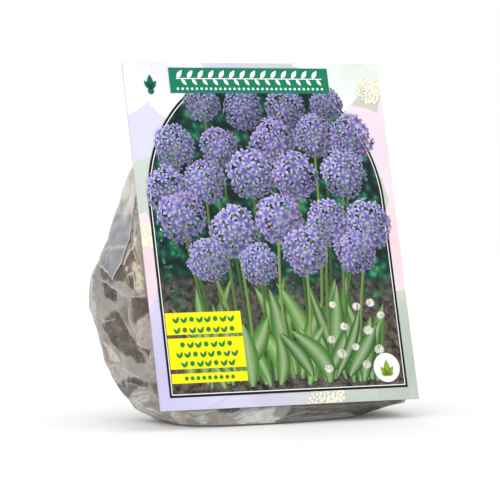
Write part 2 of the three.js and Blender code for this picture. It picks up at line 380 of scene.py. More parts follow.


# Milled, dried peat: dead matt and dark brown, with paler dry crumbs. The real crumbs are
# mostly under 1 mm and don't show, so lumps of 5.3 mm and crumbs of 2.6 mm are drawn. The
# tint is darkened towards the edge of each crumb cell: painted shade in the crevices between crumbs.
peat, tree, shader = finish_named("dry crumbled peat")
place = add(tree, "ShaderNodeTexCoord").outputs["Object"]
lumps = add(tree, "ShaderNodeTexNoise", Vector=place, Scale=1000 / 5.263, Detail=6.0, Roughness=0.7)
crumbs = add(tree, "ShaderNodeTexVoronoi", Vector=place, Scale=1000 / 2.632)
lumps_less_crevice_shade = add(tree, "ShaderNodeMath", {"operation": "MULTIPLY_ADD"},
               _0=crumbs.outputs["Distance"], _1=-0.4, _2=lumps.outputs["Fac"])
tint = add(tree, "ShaderNodeValToRGB", Fac=lumps_less_crevice_shade.outputs[0])
for spot, (at, code) in enumerate(((0.16, "#3a312a"), (0.34, "#6f635a"), (0.52, "#a3937f"))):
    stop = tint.color_ramp.elements[spot] if spot < 2 else tint.color_ramp.elements.new(at)
    stop.position, stop.color = at, srgb(code)
tree.links.new(tint.outputs["Color"], shader.inputs["Base Color"])
shader.inputs["Roughness"].default_value = 0.95
rough = add(tree, "ShaderNodeBump", Strength=0.8, Distance=0.0006, Height=lumps.outputs["Fac"])
tree.links.new(rough.outputs["Normal"], shader.inputs["Normal"])
peat_mass = object_from("peat_mass", shape, peat)
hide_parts("peat_fill")
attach(peat_mass, "root")

# Crumbs and fibres. Loose grains of peat and pale shreds of wood lie between the packed
# fill and the film, shaken out of the fill by handling.
CRUMB_COUNT, FIBRE_COUNT = 520, 240
draw = random.Random(5)
spots = []
for _ in range(900):
    height = 3 + 118 * draw.random()
    turn = draw.uniform(-math.pi, math.pi)
    point, out, _, gap = peat_tree.find_nearest(wall_point(turn, height, -2.0))
    if gap < 6:
        spots.append((point, out))
shape = bmesh.new()
for point, out in spots[:CRUMB_COUNT]:
    size = draw.uniform(0.6, 1.7)
    made = bmesh.ops.create_icosphere(shape, subdivisions=1, radius=size)["verts"]
    spin = Euler((draw.uniform(0, 3), draw.uniform(0, 3), draw.uniform(0, 3))).to_matrix()
    for v in made:
        v.co = spin @ Vector((v.co.x * 1.2, v.co.y * 0.8, v.co.z * 0.65)) * draw.uniform(0.8, 1.15)
        v.co = kept_inside(v.co + point + out * 0.4, 0.25)
shape.transform(MM)
crumbs = object_from("peat_crumbs", shape, peat)
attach(crumbs, "root")


def ribbon(shape, path, half_wide, half_deep):
    """Lays a closed four-sided strip along a path of points with their outward directions.
    Its ring comes back for every point."""
    ring, rings, last = [], [], len(path) - 1
    for k, (point, out) in enumerate(path):
        ahead = (path[min(k + 1, last)][0] - path[max(k - 1, 0)][0]).normalized()
        side = ahead.cross(out).normalized()
        taper = 0.25 + 0.75 * math.sin(math.pi * min(1.0, 0.1 + 0.8 * k / last))
        if not ring:
            ring = bmesh.ops.create_circle(shape, segments=4, radius=1.0)["verts"]
            bmesh.ops.contextual_create(shape, geom=ring)
        else:
            old = {v: n for n, v in enumerate(ring)}
            edges = [shape.edges.get((ring[n], ring[(n + 1) % 4])) for n in range(4)]
            ring = [None] * 4
            for v in drawn_out(shape, edges)[0]:
                ring[next(old[e.other_vert(v)] for e in v.link_edges if e.other_vert(v) in old)] = v
        for v, x, y in zip(ring, (1, 0, -1, 0), (0, 1, 0, -1)):
            v.co = point + side * x * half_wide * taper + out * y * half_deep
        rings.append(ring)
    bmesh.ops.contextual_create(shape, geom=ring)
    return rings


def flecked(name, mark, dark, light, roughness, detail=3.0):
    """A finish whose two tints run into each other in marks of so many millimetres."""
    finish, tree, shader = finish_named(name)
    place = add(tree, "ShaderNodeTexCoord").outputs["Object"]
    marks = add(tree, "ShaderNodeTexNoise", Vector=place, Scale=1000 / mark, Detail=detail)
    tint = add(tree, "ShaderNodeMix", {"data_type": "RGBA"}, _0=marks.outputs["Fac"],
               _6=srgb(dark), _7=srgb(light))
    tree.links.new(tint.outputs[2], shader.inputs["Base Color"])
    shader.inputs["Roughness"].default_value = roughness
    return finish


# Split softwood, dry and matt: straw-coloured, and browner where bark or peat clings to it.
wood = flecked("shredded wood fibre", 3.333, "#8a6f52", "#d9c19c", 0.85)
shape = bmesh.new()
for point, out in spots[CRUMB_COUNT:CRUMB_COUNT + FIBRE_COUNT]:
    toward = Vector((draw.uniform(-1, 1), draw.uniform(-1, 1), draw.uniform(-1, 1)))
    heading = out.cross(toward).normalized()
    bend = out.cross(heading) * draw.uniform(-0.9, 0.9)
    reach = draw.uniform(2.0, 6.5)
    path = [(kept_inside(point + out * 0.35 + heading * reach * t + bend * t * t, 0.25), out)
            for t in (-1, -0.5, 0, 0.5, 1)]
    ribbon(shape, path, draw.uniform(0.12, 0.4), 0.12)
bmesh.ops.recalc_face_normals(shape, faces=shape.faces)
shape.transform(MM)
fibres = object_from("wood_fibres", shape, wood)
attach(fibres, "root")

# Bulbs. Fifteen small true bulbs, each an onion-like body in a thin papery skin, with a dry
# nose where the old leaves stood and a sunk root plate. They lie bedded in the peat.
BULB_OUTLINE = ((0.30, 0.0), (0.70, 0.07), (0.93, 0.2), (1.0, 0.38), (0.93, 0.53),
                (0.68, 0.69), (0.36, 0.82), (0.17, 0.92), (0.13, 0.985))

# Dry scale leaves, thin as paper: tan with a low gloss, browner at the root plate and the
# nose, and blotched in marks of 7.7 mm where the outer skin has rubbed off.
tunic, tree, shader = finish_named("papery bulb skin")
place = add(tree, "ShaderNodeTexCoord").outputs["Object"]
along = add(tree, "ShaderNodeAttribute", {"attribute_name": "up_the_bulb"})
blotch = add(tree, "ShaderNodeTexNoise", Vector=place, Scale=1000 / 7.692, Detail=4.0)
hue = add(tree, "ShaderNodeMath", {"operation": "MULTIPLY_ADD"},
          _0=blotch.outputs["Fac"], _1=0.9, _2=along.outputs["Fac"])
tint = add(tree, "ShaderNodeValToRGB", Fac=hue.outputs[0])
SKIN_TINTS = ((0.25, "#6a4d35"), (0.55, "#b9996f"), (0.9, "#d8c39d"), (1.0, "#8a6a48"))
for spot, (at, code) in enumerate(SKIN_TINTS):
    stop = tint.color_ramp.elements[spot] if spot < 2 else tint.color_ramp.elements.new(at)
    stop.position, stop.color = at, srgb(code)
tree.links.new(tint.outputs["Color"], shader.inputs["Base Color"])
shader.inputs["Roughness"].default_value = 0.5

bulb_skins = []
for place_name in BULB_PLACES:
    spots = [v.co.copy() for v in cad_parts[place_name].data.vertices]
    heart = sum(spots, Vector()) / len(spots)
    nose = max(spots, key=lambda p: (p - heart).length)
    axis = (nose - heart).normalized()
    foot = min((p - heart).dot(axis) for p in spots)
    length = (nose - heart).length - foot
    girth = sorted(((p - heart) - axis * (p - heart).dot(axis)).length for p in spots)[-6]
    shape = bmesh.new()
    climb = shape.verts.layers.float.new("up_the_bulb")
    made = bmesh.ops.create_circle(shape, segments=28, radius=1.0)
    ring = made["verts"]
    edges = shape.edges[:]
    plate = bmesh.ops.contextual_create(shape, geom=ring)["faces"]
    for wide, high in BULB_OUTLINE:
        if high > 0:
            ring, edges = drawn_out(shape, edges)
        for v in ring:
            turn = math.atan2(v.co.y, v.co.x)
            rib = 1 + 0.025 * math.sin(turn * 9 + high * 5) * min(1.0, 4 * high)
            v.co = Vector((math.cos(turn) * wide * rib, math.sin(turn) * wide * rib, high))
            v[climb] = high * 0.45
    bmesh.ops.contextual_create(shape, geom=ring)
    bmesh.ops.inset_region(shape, faces=plate, thickness=0.1, depth=-0.02)
    bmesh.ops.recalc_face_normals(shape, faces=shape.faces)
    bmesh.ops.subdivide_edges(shape, edges=shape.edges, cuts=1, use_grid_fill=True, smooth=0.6)
    lie = axis.to_track_quat("Z", "Y").to_matrix().to_4x4()
    grow = Matrix.Diagonal((girth * 0.99, girth * 0.99, length * 0.985, 1))
    shape.transform(MM.inverted() @ Matrix.Translation(heart + axis * foot) @ lie @ grow)
    for v in shape.verts:
        v.co = kept_inside(v.co, 0.3)
    bulb_skins.append((MM.inverted() @ heart, BVHTree.FromBMesh(shape)))
    shape.transform(MM)
    bulb = object_from(place_name + "_skin", shape, tunic)
    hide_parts(place_name)
    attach(bulb, "root")

# Film pouch. One bag of clear polythene film, about 0.05 mm thick, welded at the mouth. It
# clings to the peat in places, and is doubled and hazy elsewhere.

# Patches of film on the photographed flank: how much each hides, its one or two mottled
# tints, and its outline from outside, each point a direction from the pouch's middle in half
# circles and a height in mm. The palest grey-white patches near the foot are painted
# highlights on the crinkled film, laid over its haze.
PATCHES = (
    (0.66, "#beb7ab", ((0.8, 190), (0.8, 150), (0.9, 122), (1.1, 112), (1.3, 110), (1.3, 190))),
    (0.75, "#bdb3a6 #a0968a", ((1.1, 128), (1.12, 104), (1.14, 96), (1.3, 90), (1.3, 128))),
    (0.5, "#9b8e7f #80756a", ((1.14, 98), (1.17, 100), (1.2, 95), (1.23, 80), (1.24, 73),
        (1.2, 73), (1.15, 90))),
    (0.62, "#8a7a6a #74685d", ((1.155, 91), (1.172, 92.5), (1.2, 91.5), (1.212, 88), (1.188, 86),
        (1.169, 88))),
    (0.5, "#827b72", ((1.09, 84), (1.14, 91), (1.16, 89), (1.19, 87), (1.212, 85.5), (1.215, 78),
        (1.18, 81), (1.13, 81))),
    (0.45, "#857e74", ((0.93, 88), (1.1, 82), (1.13, 81.5), (1.1, 78.5), (0.95, 83))),
    (0.96, "#e6d8c0 #ab9c86", ((1.184, 92.5), (1.2, 93), (1.217, 89), (1.224, 86.5), (1.235, 82),
        (1.25, 73.5), (1.234, 73), (1.218, 76.5), (1.208, 81.5), (1.197, 85.5), (1.186, 88.5))),
    (0.93, "#eee1ca #cdbfa8", ((1.163, 97.5), (1.173, 99.5), (1.181, 102), (1.171, 106),
        (1.16, 105), (1.163, 100))),
    (0.92, "#ebdfc8", ((1.155, 99), (1.153, 95), (1.158, 91), (1.149, 91), (1.146, 97))),
    (0.85, "#e6d9c1", ((1.164, 89.5), (1.175, 89), (1.172, 86.5), (1.161, 87))),
    (0.85, "#e8dcc5", ((1.185, 86.5), (1.193, 86), (1.191, 83.5), (1.182, 84))),
    (0.85, "#e3d5bc", ((1.176, 85), (1.182, 84.5), (1.181, 82.5), (1.174, 83))),
    (0.8, "#b4b4af", ((1.1, 79), (1.12, 80), (1.17, 81.5), (1.22, 77), (1.215, 74), (1.2, 73),
        (1.15, 76.5))),
    (0.5, "#6f6660 #605852", ((0.965, 81), (1.04, 79.3), (1.15, 76.3), (1.158, 71.2),
        (1.12, 70.3), (1.06, 72), (1.0, 76))),
    (0.75, "#aaa7a1", ((1.152, 76), (1.2, 72.5), (1.18, 66.5), (1.148, 65.5))),
    (0.6, "#9d978f", ((1.18, 66.5), (1.2, 72.5), (1.205, 66), (1.19, 58), (1.15, 60),
        (1.15, 65.5))),
    (0.5, "#86776b #74675d", ((1.212, 72.5), (1.27, 73), (1.27, 66), (1.23, 62.5), (1.22, 61),
        (1.2, 58.5), (1.205, 66))),
    (0.86, "#cfc4bc #bbafa6", ((1.2, 58.5), (1.22, 61), (1.25, 64), (1.25, 49), (1.2, 52))),
    (0.45, "#7d746b #6d645d", ((1.12, 65), (1.07, 63), (0.975, 55), (1.0, 47.5), (1.06, 41.5),
        (1.14, 39), (1.17, 36), (1.2, 36), (1.19, 43.5), (1.178, 50), (1.155, 59), (1.14, 64.5))),
    (0.92, "#e3d7c4 #bfb19d", ((0.91, 48), (0.935, 42), (0.9, 36), (0.94, 34.5), (1.02, 35.5),
        (1.01, 39.5), (0.965, 44))),
    (0.86, "#bfbcb6 #a9a6a0", ((0.86, 31), (0.944, 32.5), (1.025, 32), (1.082, 30), (1.133, 27.5),
        (1.0, 25), (0.894, 19.5), (0.85, 18))),
    (0.74, "#5b5853 #4c4945", ((0.81, 21), (0.9, 22), (1.0, 24.5), (1.0, 21.5), (0.96, 15.5),
        (0.922, 12.4), (0.81, 12.4))),
    (0.6, "#655a53 #5b524b", ((1.0, 24), (1.05, 26), (1.131, 26.5), (1.173, 25.5), (1.169, 23),
        (1.118, 23), (1.056, 24))),
    (0.74, "#6b665e", ((1.025, 23), (1.115, 22.5), (1.157, 22.5), (1.106, 21.5), (0.975, 16.5),
        (0.975, 18.5))),
    (0.8, "#a8a39b", ((1.0, 16.8), (1.109, 21.5), (1.151, 21), (1.159, 19), (1.087, 18))),
    (0.9, "#c9c9c6 #a9a7a2", ((0.86, 12.3), (0.975, 15.5), (1.074, 17.5), (1.131, 18),
        (1.102, 14.5), (1.04, 12), (0.975, 9.5), (0.9, 10))),
    (0.93, "#d6d5d2 #b9b7b3", ((0.84, 10), (1.063, 13), (1.04, 9.8), (1.092, 9), (1.1, 4.5),
        (0.95, 4.5))),
    (0.8, "#a6988c #8f8277", ((1.068, 12.5), (1.142, 15.5), (1.18, 15), (1.17, 10.5),
        (1.115, 10.5))),
    (0.82, "#bcb8ad #a39e92", ((1.225, 42), (1.205, 38), (1.196, 34), (1.182, 29.5), (1.182, 26),
        (1.21, 25), (1.23, 32.5), (1.26, 42))),
    (0.6, "#857a71", ((1.18, 24.5), (1.25, 25), (1.25, 14), (1.182, 15.5), (1.18, 20))),
    (0.93, "#ddd2c8 #c9bdb1", ((1.205, 9), (1.24, 9), (1.25, 5.5), (1.225, 2), (1.13, 1.5))),
    (0.9, "#b3a397", ((1.218, 5), (1.236, 4.5), (1.226, 1.5), (1.185, 1.0))),
    (0.9, "#dad6cf", ((1.25, 7.6), (1.285, 8.6), (1.32, 10.4), (1.322, 9.7), (1.285, 7.6))),
    (0.93, "#dcdedc #bcbcb8", ((1.25, 6), (1.281, 7), (1.29, 5), (1.3, 4), (1.262, 1.5),
        (1.245, 2.5))),
    (0.86, "#bcb3ab #a79e96", ((1.268, 2.5), (1.3, 6.5), (1.321, 7.5), (1.339, 7), (1.341, 5),
        (1.306, 1.5))),
    (0.6, "#6e6a64", ((1.32, 8.2), (1.345, 7), (1.375, 10), (1.36, 12), (1.3, 12))),
    (0.7, "#7d7872 #6b6660", ((1.44, 13), (1.61, 13), (1.86, 13), (1.86, -1), (1.62, -1),
        (1.45, -1))),
    (0.85, "#a9a6a1", ((1.43, 12), (1.5, 12), (1.49, 6), (1.47, 2), (1.44, 3))),
    (0.94, "#e4e4e2 #d0d0cd", ((1.345, 3), (1.379, 5.5), (1.4, 8.5), (1.428, 9.5), (1.458, 10.5),
        (1.453, 4.5), (1.475, 2.5), (1.44, 1.2), (1.36, 1.4))),
    (0.88, "#c9c7c3", ((1.355, 5.5), (1.38, 10), (1.415, 11), (1.424, 9.5), (1.389, 6.5))),
    (0.5, "#746b63", ((1.19, 45), (1.23, 43.5), (1.213, 39.5))),
)
# Sharp folds: width in mm, colour, and the line they run along.
FOLDS = (
    (0.5, "#cfcbc4", ((0.95, 81), (1.04, 79.5), (1.15, 76.5), (1.2, 73), (1.24, 73))),
    (0.45, "#ddd1be", ((1.212, 72.5), (1.21, 69), (1.2, 65.5), (1.19, 58.5), (1.199, 52.6),
        (1.19, 46.5))),
    (0.5, "#efe4cf", ((1.161, 112.5), (1.165, 108.5), (1.166, 105), (1.169, 101.5), (1.168, 99.5),
        (1.154, 98), (1.15, 95), (1.153, 90.5))),
    (0.35, "#e3d6bf", ((1.169, 99.5), (1.185, 96.5), (1.203, 93.5), (1.203, 92))),
    (0.35, "#ded2bd", ((1.19, 112), (1.18, 102.5), (1.2, 97.5), (1.212, 93))),
    (0.4, "#eadfc9", ((1.19, 91), (1.195, 88), (1.206, 83.5), (1.216, 78), (1.234, 73.5))),
    (0.3, "#b9b3aa", ((1.15, 65.5), (1.15, 62), (1.165, 57), (1.18, 52.5), (1.19, 45))),
    (0.5, "#ddd6cc", ((1.199, 52.6), (1.19, 46.3), (1.208, 45.2), (1.231, 44.2))),
    (0.45, "#d8d0c6", ((1.232, 51.4), (1.219, 48.6), (1.19, 46.1))),
    (0.35, "#cdc5bb", ((1.187, 44), (1.2, 42), (1.212, 39.7))),
    (0.5, "#dcd6c8", ((1.233, 44.4), (1.213, 38), (1.197, 35))),
    (0.55, "#dedad4", ((0.86, 31), (0.944, 32.5), (1.025, 32), (1.082, 30), (1.109, 28.5),
        (1.133, 27.5))),
    (0.4, "#c9c6c0", ((0.95, 31), (0.94, 27), (0.92, 23))),
    (0.5, "#e4dfda", ((1.0, 16.9), (1.087, 18.3), (1.159, 19.2))),
    (0.3, "#d5d1cb", ((1.095, 21), (1.148, 21.5))),
    (0.5, "#e6e4e0", ((1.0, 9.5), (1.074, 9.6), (1.11, 8.6), (1.13, 5), (1.14, 3))),
    (0.4, "#dcdad6", ((0.9, 13.2), (0.944, 12), (0.96, 9.8))),
    (0.5, "#e6e5e2", ((0.935, 10.8), (1.056, 15), (1.126, 17.4))),
    (0.35, "#dddbd7", ((0.932, 12.5), (1.04, 15.5))),
    (0.6, "#efeeec", ((0.92, 9.2), (1.04, 12.4), (1.098, 14.4))),
    (0.5, "#efeeec", ((0.92, 7.5), (1.0, 9.4), (1.05, 11.6))),
    (0.5, "#e6e3de", ((0.95, 5), (1.03, 3.8), (1.12, 2.5))),
    (0.35, "#cbc7c2", ((1.21, 8.6), (1.227, 7), (1.234, 4))),
    (0.45, "#e8e6e2", ((1.25, 8.4), (1.285, 8.9), (1.32, 10))),
    (0.4, "#d5cfc8", ((1.279, 5), (1.307, 7.5), (1.33, 8))),
    (0.4, "#dcd9d4", ((1.342, 6), (1.359, 8), (1.376, 9.8))),
    (0.45, "#f1f0ee", ((1.347, 4), (1.374, 6), (1.405, 8.2))),
    (0.45, "#f1f0ee", ((1.377, 3.4), (1.408, 6.5), (1.434, 7.6))),
    (0.3, "#a7a19a", ((1.5, 9.5), (1.6, 8.2), (1.72, 9.3))),
    (0.3, "#aca69f", ((1.47, 3.5), (1.54, 6), (1.6, 5.2))),
    (0.3, "#cfcac3", ((0.86, 58), (0.93, 60), (1.02, 58), (1.1, 60))),
    (0.3, "#c2bdb6", ((0.9, 74), (0.96, 68), (1.0, 60))),
    (0.3, "#cac5be", ((0.9, 98), (0.98, 100), (1.06, 99), (1.12, 103))),
    (0.35, "#d4d0c9", ((1.13, 128), (1.12, 120), (1.125, 112), (1.15, 104))),
    (0.35, "#e9e7e3", ((0.04, 181), (0.2, 181), (0.5, 181), (0.8, 181), (0.96, 181))),
    (0.35, "#e9e7e3", ((0.04, 184), (0.2, 184), (0.5, 184), (0.8, 184), (0.96, 184))),
)
# The wall is laid out flat as if the bag were a drum of 75 mm radius. Half its girth is
# one unit of turn.
HALF_GIRTH = 75 * math.pi


def mixed(first, second, share):
    """A linear colour between two."""
    return tuple(a + (b - a) * share for a, b in zip(first, second))


def on_paper(turn, height):
    """A place on the pouch's wall laid out flat, in mm."""
    return Vector((turn * HALF_GIRTH, height))


def inside_by(spot, outline):
    """How far a flat spot lies inside an outline, in mm; negative outside."""
    crossings, nearest = 0, 1e9
    for a, b in zip(outline, outline[1:] + outline[:1]):
        if (a.y > spot.y) != (b.y > spot.y):
            crossings += spot.x < a.x + (b.x - a.x) * (spot.y - a.y) / (b.y - a.y)
        run = b - a
        share = min(1.0, max(0.0, (spot - a).dot(run) / run.length_squared))
        nearest = min(nearest, (spot - a - run * share).length)
    return nearest if crossings % 2 else -nearest


patches = [(hides, [srgb(code) for code in codes.split()], [on_paper(*p) for p in outline])
           for hides, codes, outline in PATCHES]
folds = [(wide, srgb(code), [on_paper(*p) for p in line]) for wide, code, line in FOLDS]
# The folds on the rest of the bag are scattered ones of the same kind.
SCATTERED_FOLDS = 46
draw = random.Random(21)
for _ in range(SCATTERED_FOLDS):
    spot = on_paper(draw.uniform(-0.7, 0.84), draw.uniform(3, 150))
    heading = draw.choice((0.4, 1.2, 1.57, 2.1, 2.7)) + draw.uniform(-0.3, 0.3)
    line = [spot]
    for _ in range(draw.randint(2, 4)):
        heading += draw.uniform(-0.45, 0.45)
        line.append(line[-1] + draw.uniform(4, 9) * Vector((math.cos(heading), math.sin(heading))))
    if all(2 < p.y < 172 for p in line):
        wide = draw.uniform(0.2, 0.45)
        folds.append((wide, srgb(draw.choice(("#bdb8b0", "#cbc7c0", "#d6d2cc"))), line))


def boxed(outlines, margin):
    """Each outline with the box, grown by a margin in mm, outside which it has no effect."""
    return [(min(p.x for p in line) - margin, max(p.x for p in line) + margin,
             min(p.y for p in line) - margin, max(p.y for p in line) + margin, line)
            for line in outlines]


# A haze is the share of what lies behind that it hides, and its tint: of the clearest and
# the haziest facet, of the flank in view, of the empty top of the bag, and of a ridge. The
# ridge's pale haze is a painted highlight, and the change from facet to facet is partly
# painted reflection.
CLEAREST, HAZIEST = (0.2, srgb("#857b71")), (0.86, srgb("#b5aea6"))
FLANK_HAZE = (0.8, srgb("#b4ada6"))
EMPTY_HAZE = (0.62, srgb("#cdc9c2"))
RIDGE_HAZE_AND_HIGHLIGHT = (0.92, srgb("#dedbd6"))


def hazed(haze, other, share):
    """A haze moved towards another by a share."""
    return haze[0] + (other[0] - haze[0]) * share, mixed(haze[1], other[1], share)


hides_at = bag.verts.layers.float.new("opacity")
tint_at = bag.verts.layers.float_color.new("tint")
patch_boxes = boxed([p[2] for p in patches], 1)
fold_boxes = boxed([f[2] for f in folds], 4)
for v in bag.verts:
    left, right, front, back = reach_at(v.co.z)
    half = right if v.co.x > 0 else left
    turn = math.atan2((v.co.y - (front + back) / 2) / ((back - front) / 2), v.co.x / half) / math.pi
    # The front's left half is counted on from the flank, so that no patch is cut in two.
    if turn < -0.72 + 0.55 * (v.co.z < 12):
        turn += 2
    spot = on_paper(turn, v.co.z)
    spot += Vector((noise.noise(v.co * 0.21), noise.noise(v.co * 0.23 + Vector((9, 0, 0))))) * 1.6
    on_flank = ease(turn, 0.8, 0.88)
    # Each facet's own haze, between the clearest and the haziest, is partly painted reflection:
    # facets made lighter or darker as if they caught the light differently.
    haze = hazed(CLEAREST, HAZIEST, 0.1 + 0.9 * v[own_at])
    haze = hazed(haze, EMPTY_HAZE, ease(v.co.z, 112, 140))
    haze = hazed(haze, FLANK_HAZE, 0.9 * on_flank)
    for (left_x, right_x, low, high, outline), (patch_hides, tints, _) in zip(patch_boxes, patches):
        if left_x < spot.x < right_x and low < spot.y < high:
            share = ease(inside_by(spot, outline), -0.8, 0.8)
            mottle = ease(noise.fractal(v.co * 0.45, 1.0, 2.0, 3), -0.25, 0.3)
            haze = hazed(haze, (patch_hides, mixed(tints[0], tints[-1], mottle)), share)
    # Beside each fold a pale band is painted on the wall, broad on one side of the line and narrow on
    # the other: a painted sheen along the crease.
    for (left_x, right_x, low, high, line), (wide, fold_tint, _) in zip(fold_boxes, folds):
        if left_x < spot.x < right_x and low < spot.y < high:
            painted_sheen = 0
            for a, b in zip(line, line[1:]):
                run, off = b - a, spot - a
                near = (off - run * min(1.0, max(0.0, off.dot(run) / run.length_squared))).length
                broad = 4.5 * wide if run.cross(off) > 0 else 1.2 * wide
                painted_sheen = max(painted_sheen, 1 - near / broad)
            haze = hazed(haze, (RIDGE_HAZE_AND_HIGHLIGHT[0], fold_tint), 0.55 * painted_sheen * painted_sheen)
    # Along the facets' ridges the film is made paler: a painted highlight, broad on one side of each
    # ridge.
    hides, tint = hazed(haze, RIDGE_HAZE_AND_HIGHLIGHT, v[ridge_at] * (0.65 - 0.5 * on_flank))
    # Film that clings to peat or to a bulb is clearer there.
    if turn < 0.84:
        near = peat_tree.find_nearest(v.co)[3] + 0.5 * noise.noise(v.co * 0.3)
        hides *= 0.6 + 0.4 * ease(near, 0.3, 1.3)
        for heart, skin in bulb_skins:
            if (v.co - heart).length < 34:
                hides *= 0.3 + 0.7 * ease(skin.find_nearest(v.co)[3], 2.0, 7.0)
    # The film has two sides, and both together hide the share.
    v[hides_at] = 1 - math.sqrt(1 - hides)
    v[tint_at] = tint
bag.transform(MM)

# Blown polythene film: clear, colourless and glossy, with small sharp glints along its
# creases. Where it is doubled or rubbed it scatters light, and looks pale and cloudy.
film, tree, shader = finish_named("creased polythene film")
place = add(tree, "ShaderNodeTexCoord").outputs["Object"]
hides = add(tree, "ShaderNodeAttribute", {"attribute_name": "opacity"}).outputs["Fac"]
tints = add(tree, "ShaderNodeAttribute", {"attribute_name": "tint"}).outputs["Color"]
cloud = add(tree, "ShaderNodeTexNoise", Vector=place, Scale=1000 / 14.286,
            Detail=4.0, Distortion=0.8)
cloudy = add(tree, "ShaderNodeMapRange", Value=cloud.outputs["Fac"], _1=0.3, _2=0.7, _3=0.82, _4=1.15)
streak = add(tree, "ShaderNodeTexNoise", {"noise_type": "RIDGED_MULTIFRACTAL"},
             Vector=place, Scale=1000 / 18.182, Detail=3.0, Roughness=0.5, Distortion=0.8)
alpha = add(tree, "ShaderNodeMath", {"operation": "MULTIPLY", "use_clamp": True},
            _0=hides, _1=cloudy.outputs[0])
tree.links.new(alpha.outputs[0], shader.inputs["Alpha"])
# The tint carries the film's haze and also painted highlights: on the ridges, beside the folds and on
# the palest patches.
tree.links.new(tints, shader.inputs["Base Color"])
shader.inputs["Roughness"].default_value = 0.22
shader.inputs["IOR"].default_value = 1.5
crease = add(tree, "ShaderNodeBump", Strength=0.3, Distance=0.0006, Height=streak.outputs["Fac"])
tree.links.new(crease.outputs["Normal"], shader.inputs["Normal"])
pouch = object_from("film_bag", bag, film)
# The wall is drawn over twice as thick as it is, so that its two sides stay apart.
wall = pouch.modifiers.new("film thickness", "SOLIDIFY")
wall.thickness = 0.00012
wall.offset = -1
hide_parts("film_pouch")
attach(pouch, "root")

# Film folds. Where the film is sharply folded it doubles into a narrow pleat, which looks
# like a thin pale line. Each is a flattened strip of the same film that lies on the wall.
# Their pale tints are partly the doubled film's own haze and partly a painted highlight along
# the crease, whitest low on the flank.


def seated(spot, lift):
    """The point and outward direction of a flat place on the film's outside, in mm."""
    turn = spot.x / HALF_GIRTH * math.pi
    point, out = nearest_film(wall_point(turn, spot.y))
    return point + out * lift, out


shape = bmesh.new()
hides_at = shape.verts.layers.float.new("opacity")
tint_at = shape.verts.layers.float_color.new("tint")
for wide, tint, line in folds:
    path = []
    for a, b in zip(line, line[1:]):
        steps = max(1, round((b - a).length / 2.2))
        path += [a.lerp(b, k / steps) for k in range(steps)]
    path = [p + Vector((0.3 * noise.noise(Vector((p.x, p.y, 0)) * 0.3), 0)) for p in path + line[-1:]]
    path = [seated(p, 0.03) for p in path]
    if len(path) < 3:
        continue
    for ring in ribbon(shape, path, wide * draw.uniform(0.8, 1.1), 0.1):
        for v in ring:
            v[hides_at] = draw.uniform(0.6, 0.92)
            v[tint_at] = tint
bmesh.ops.recalc_face_normals(shape, faces=shape.faces)
shape.transform(MM)
pleats = object_from("film_folds", shape, film)
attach(pleats, "root")

# Folded corner. The bag's upper left corner is folded down flat on its flank: a doubled,
# pointed flap of film, grey and mottled, with a pale welded border.
CORNER = ((0.98, 152), (0.9, 142), (0.869, 128), (0.86, 112), (0.89, 98), (0.93, 88.5),
          (1.02, 85), (1.105, 81.5), (1.14, 91), (1.142, 101), (1.136, 112), (1.13, 124),
          (1.115, 134), (1.08, 146))
FLAP_THICKNESS = 0.14
outline = [on_paper(*p) for p in CORNER]


def above_crease(spot):
    """How far a flat spot lies above the crease across the flap, in mm."""
    waver = 1.5 * noise.noise(Vector((0.05 * spot.x, 0, 0)))
    return spot.y - 98.5 - 0.06 * (spot.x - HALF_GIRTH) - waver


shape = bmesh.new()
hides_at = shape.verts.layers.float.new("opacity")
tint_at = shape.verts.layers.float_color.new("tint")
made = bmesh.ops.create_circle(shape, segments=len(outline), radius=1.0)["verts"]
for v, spot in zip(made, outline):
    v.co = Vector((spot.x, spot.y, 0))
face = bmesh.ops.contextual_create(shape, geom=made)["faces"]
bmesh.ops.triangulate(shape, faces=face)
for _ in range(5):
    long_ones = [e for e in shape.edges if e.calc_length() > 1.6]
    bmesh.ops.subdivide_edges(shape, edges=long_ones, cuts=1)
    bmesh.ops.triangulate(shape, faces=[f for f in shape.faces if len(f.verts) > 3])
for v in shape.verts:
    spot = Vector((v.co.x, v.co.y))
    border = inside_by(spot, outline)
    rim = 1 - ease(abs(border), 0.2, 1.3)
    mottle = noise.fractal(Vector((0.03 * spot.x, 0.09 * spot.y, 0)), 1.0, 2.0, 3)
    crossing = 1 - ease(abs(above_crease(spot)), 0.3, 1.5)
    pale = max(rim, 0.5 * crossing)
    v[hides_at] = min(0.95, 0.66 + 0.12 * mottle + 0.28 * pale)
    plain = mixed(srgb("#8d8f97"), srgb("#abaaae"), 0.5 + 0.9 * mottle)
    plain = mixed(plain, srgb("#ebe6dc"), 0.88 * ease(spot.y + 10 * mottle, 108, 128))
    plain = mixed(plain, srgb("#c6bfb1"), 0.8 * ease(spot.y, 130, 143))
    v[tint_at] = mixed(plain, srgb("#dcdcdf"), pale)
    v.co, _ = seated(spot, 0.9 + 0.35 * mottle - 0.3 * rim)
grown = bmesh.ops.extrude_face_region(shape, geom=shape.faces[:], use_keep_orig=True)["geom"]
shape.normal_update()
for v in (g for g in grown if isinstance(g, bmesh.types.BMVert)):
    v.co += nearest_film(v.co)[1] * FLAP_THICKNESS
bmesh.ops.recalc_face_normals(shape, faces=shape.faces)
shape.transform(MM)
corner = object_from("folded_corner", shape, film)
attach(corner, "root")

# Tape. Two strips of double-sided tape hold the card to the film. They are cut from a roll
# and pressed on the bag's flat front, under the card.

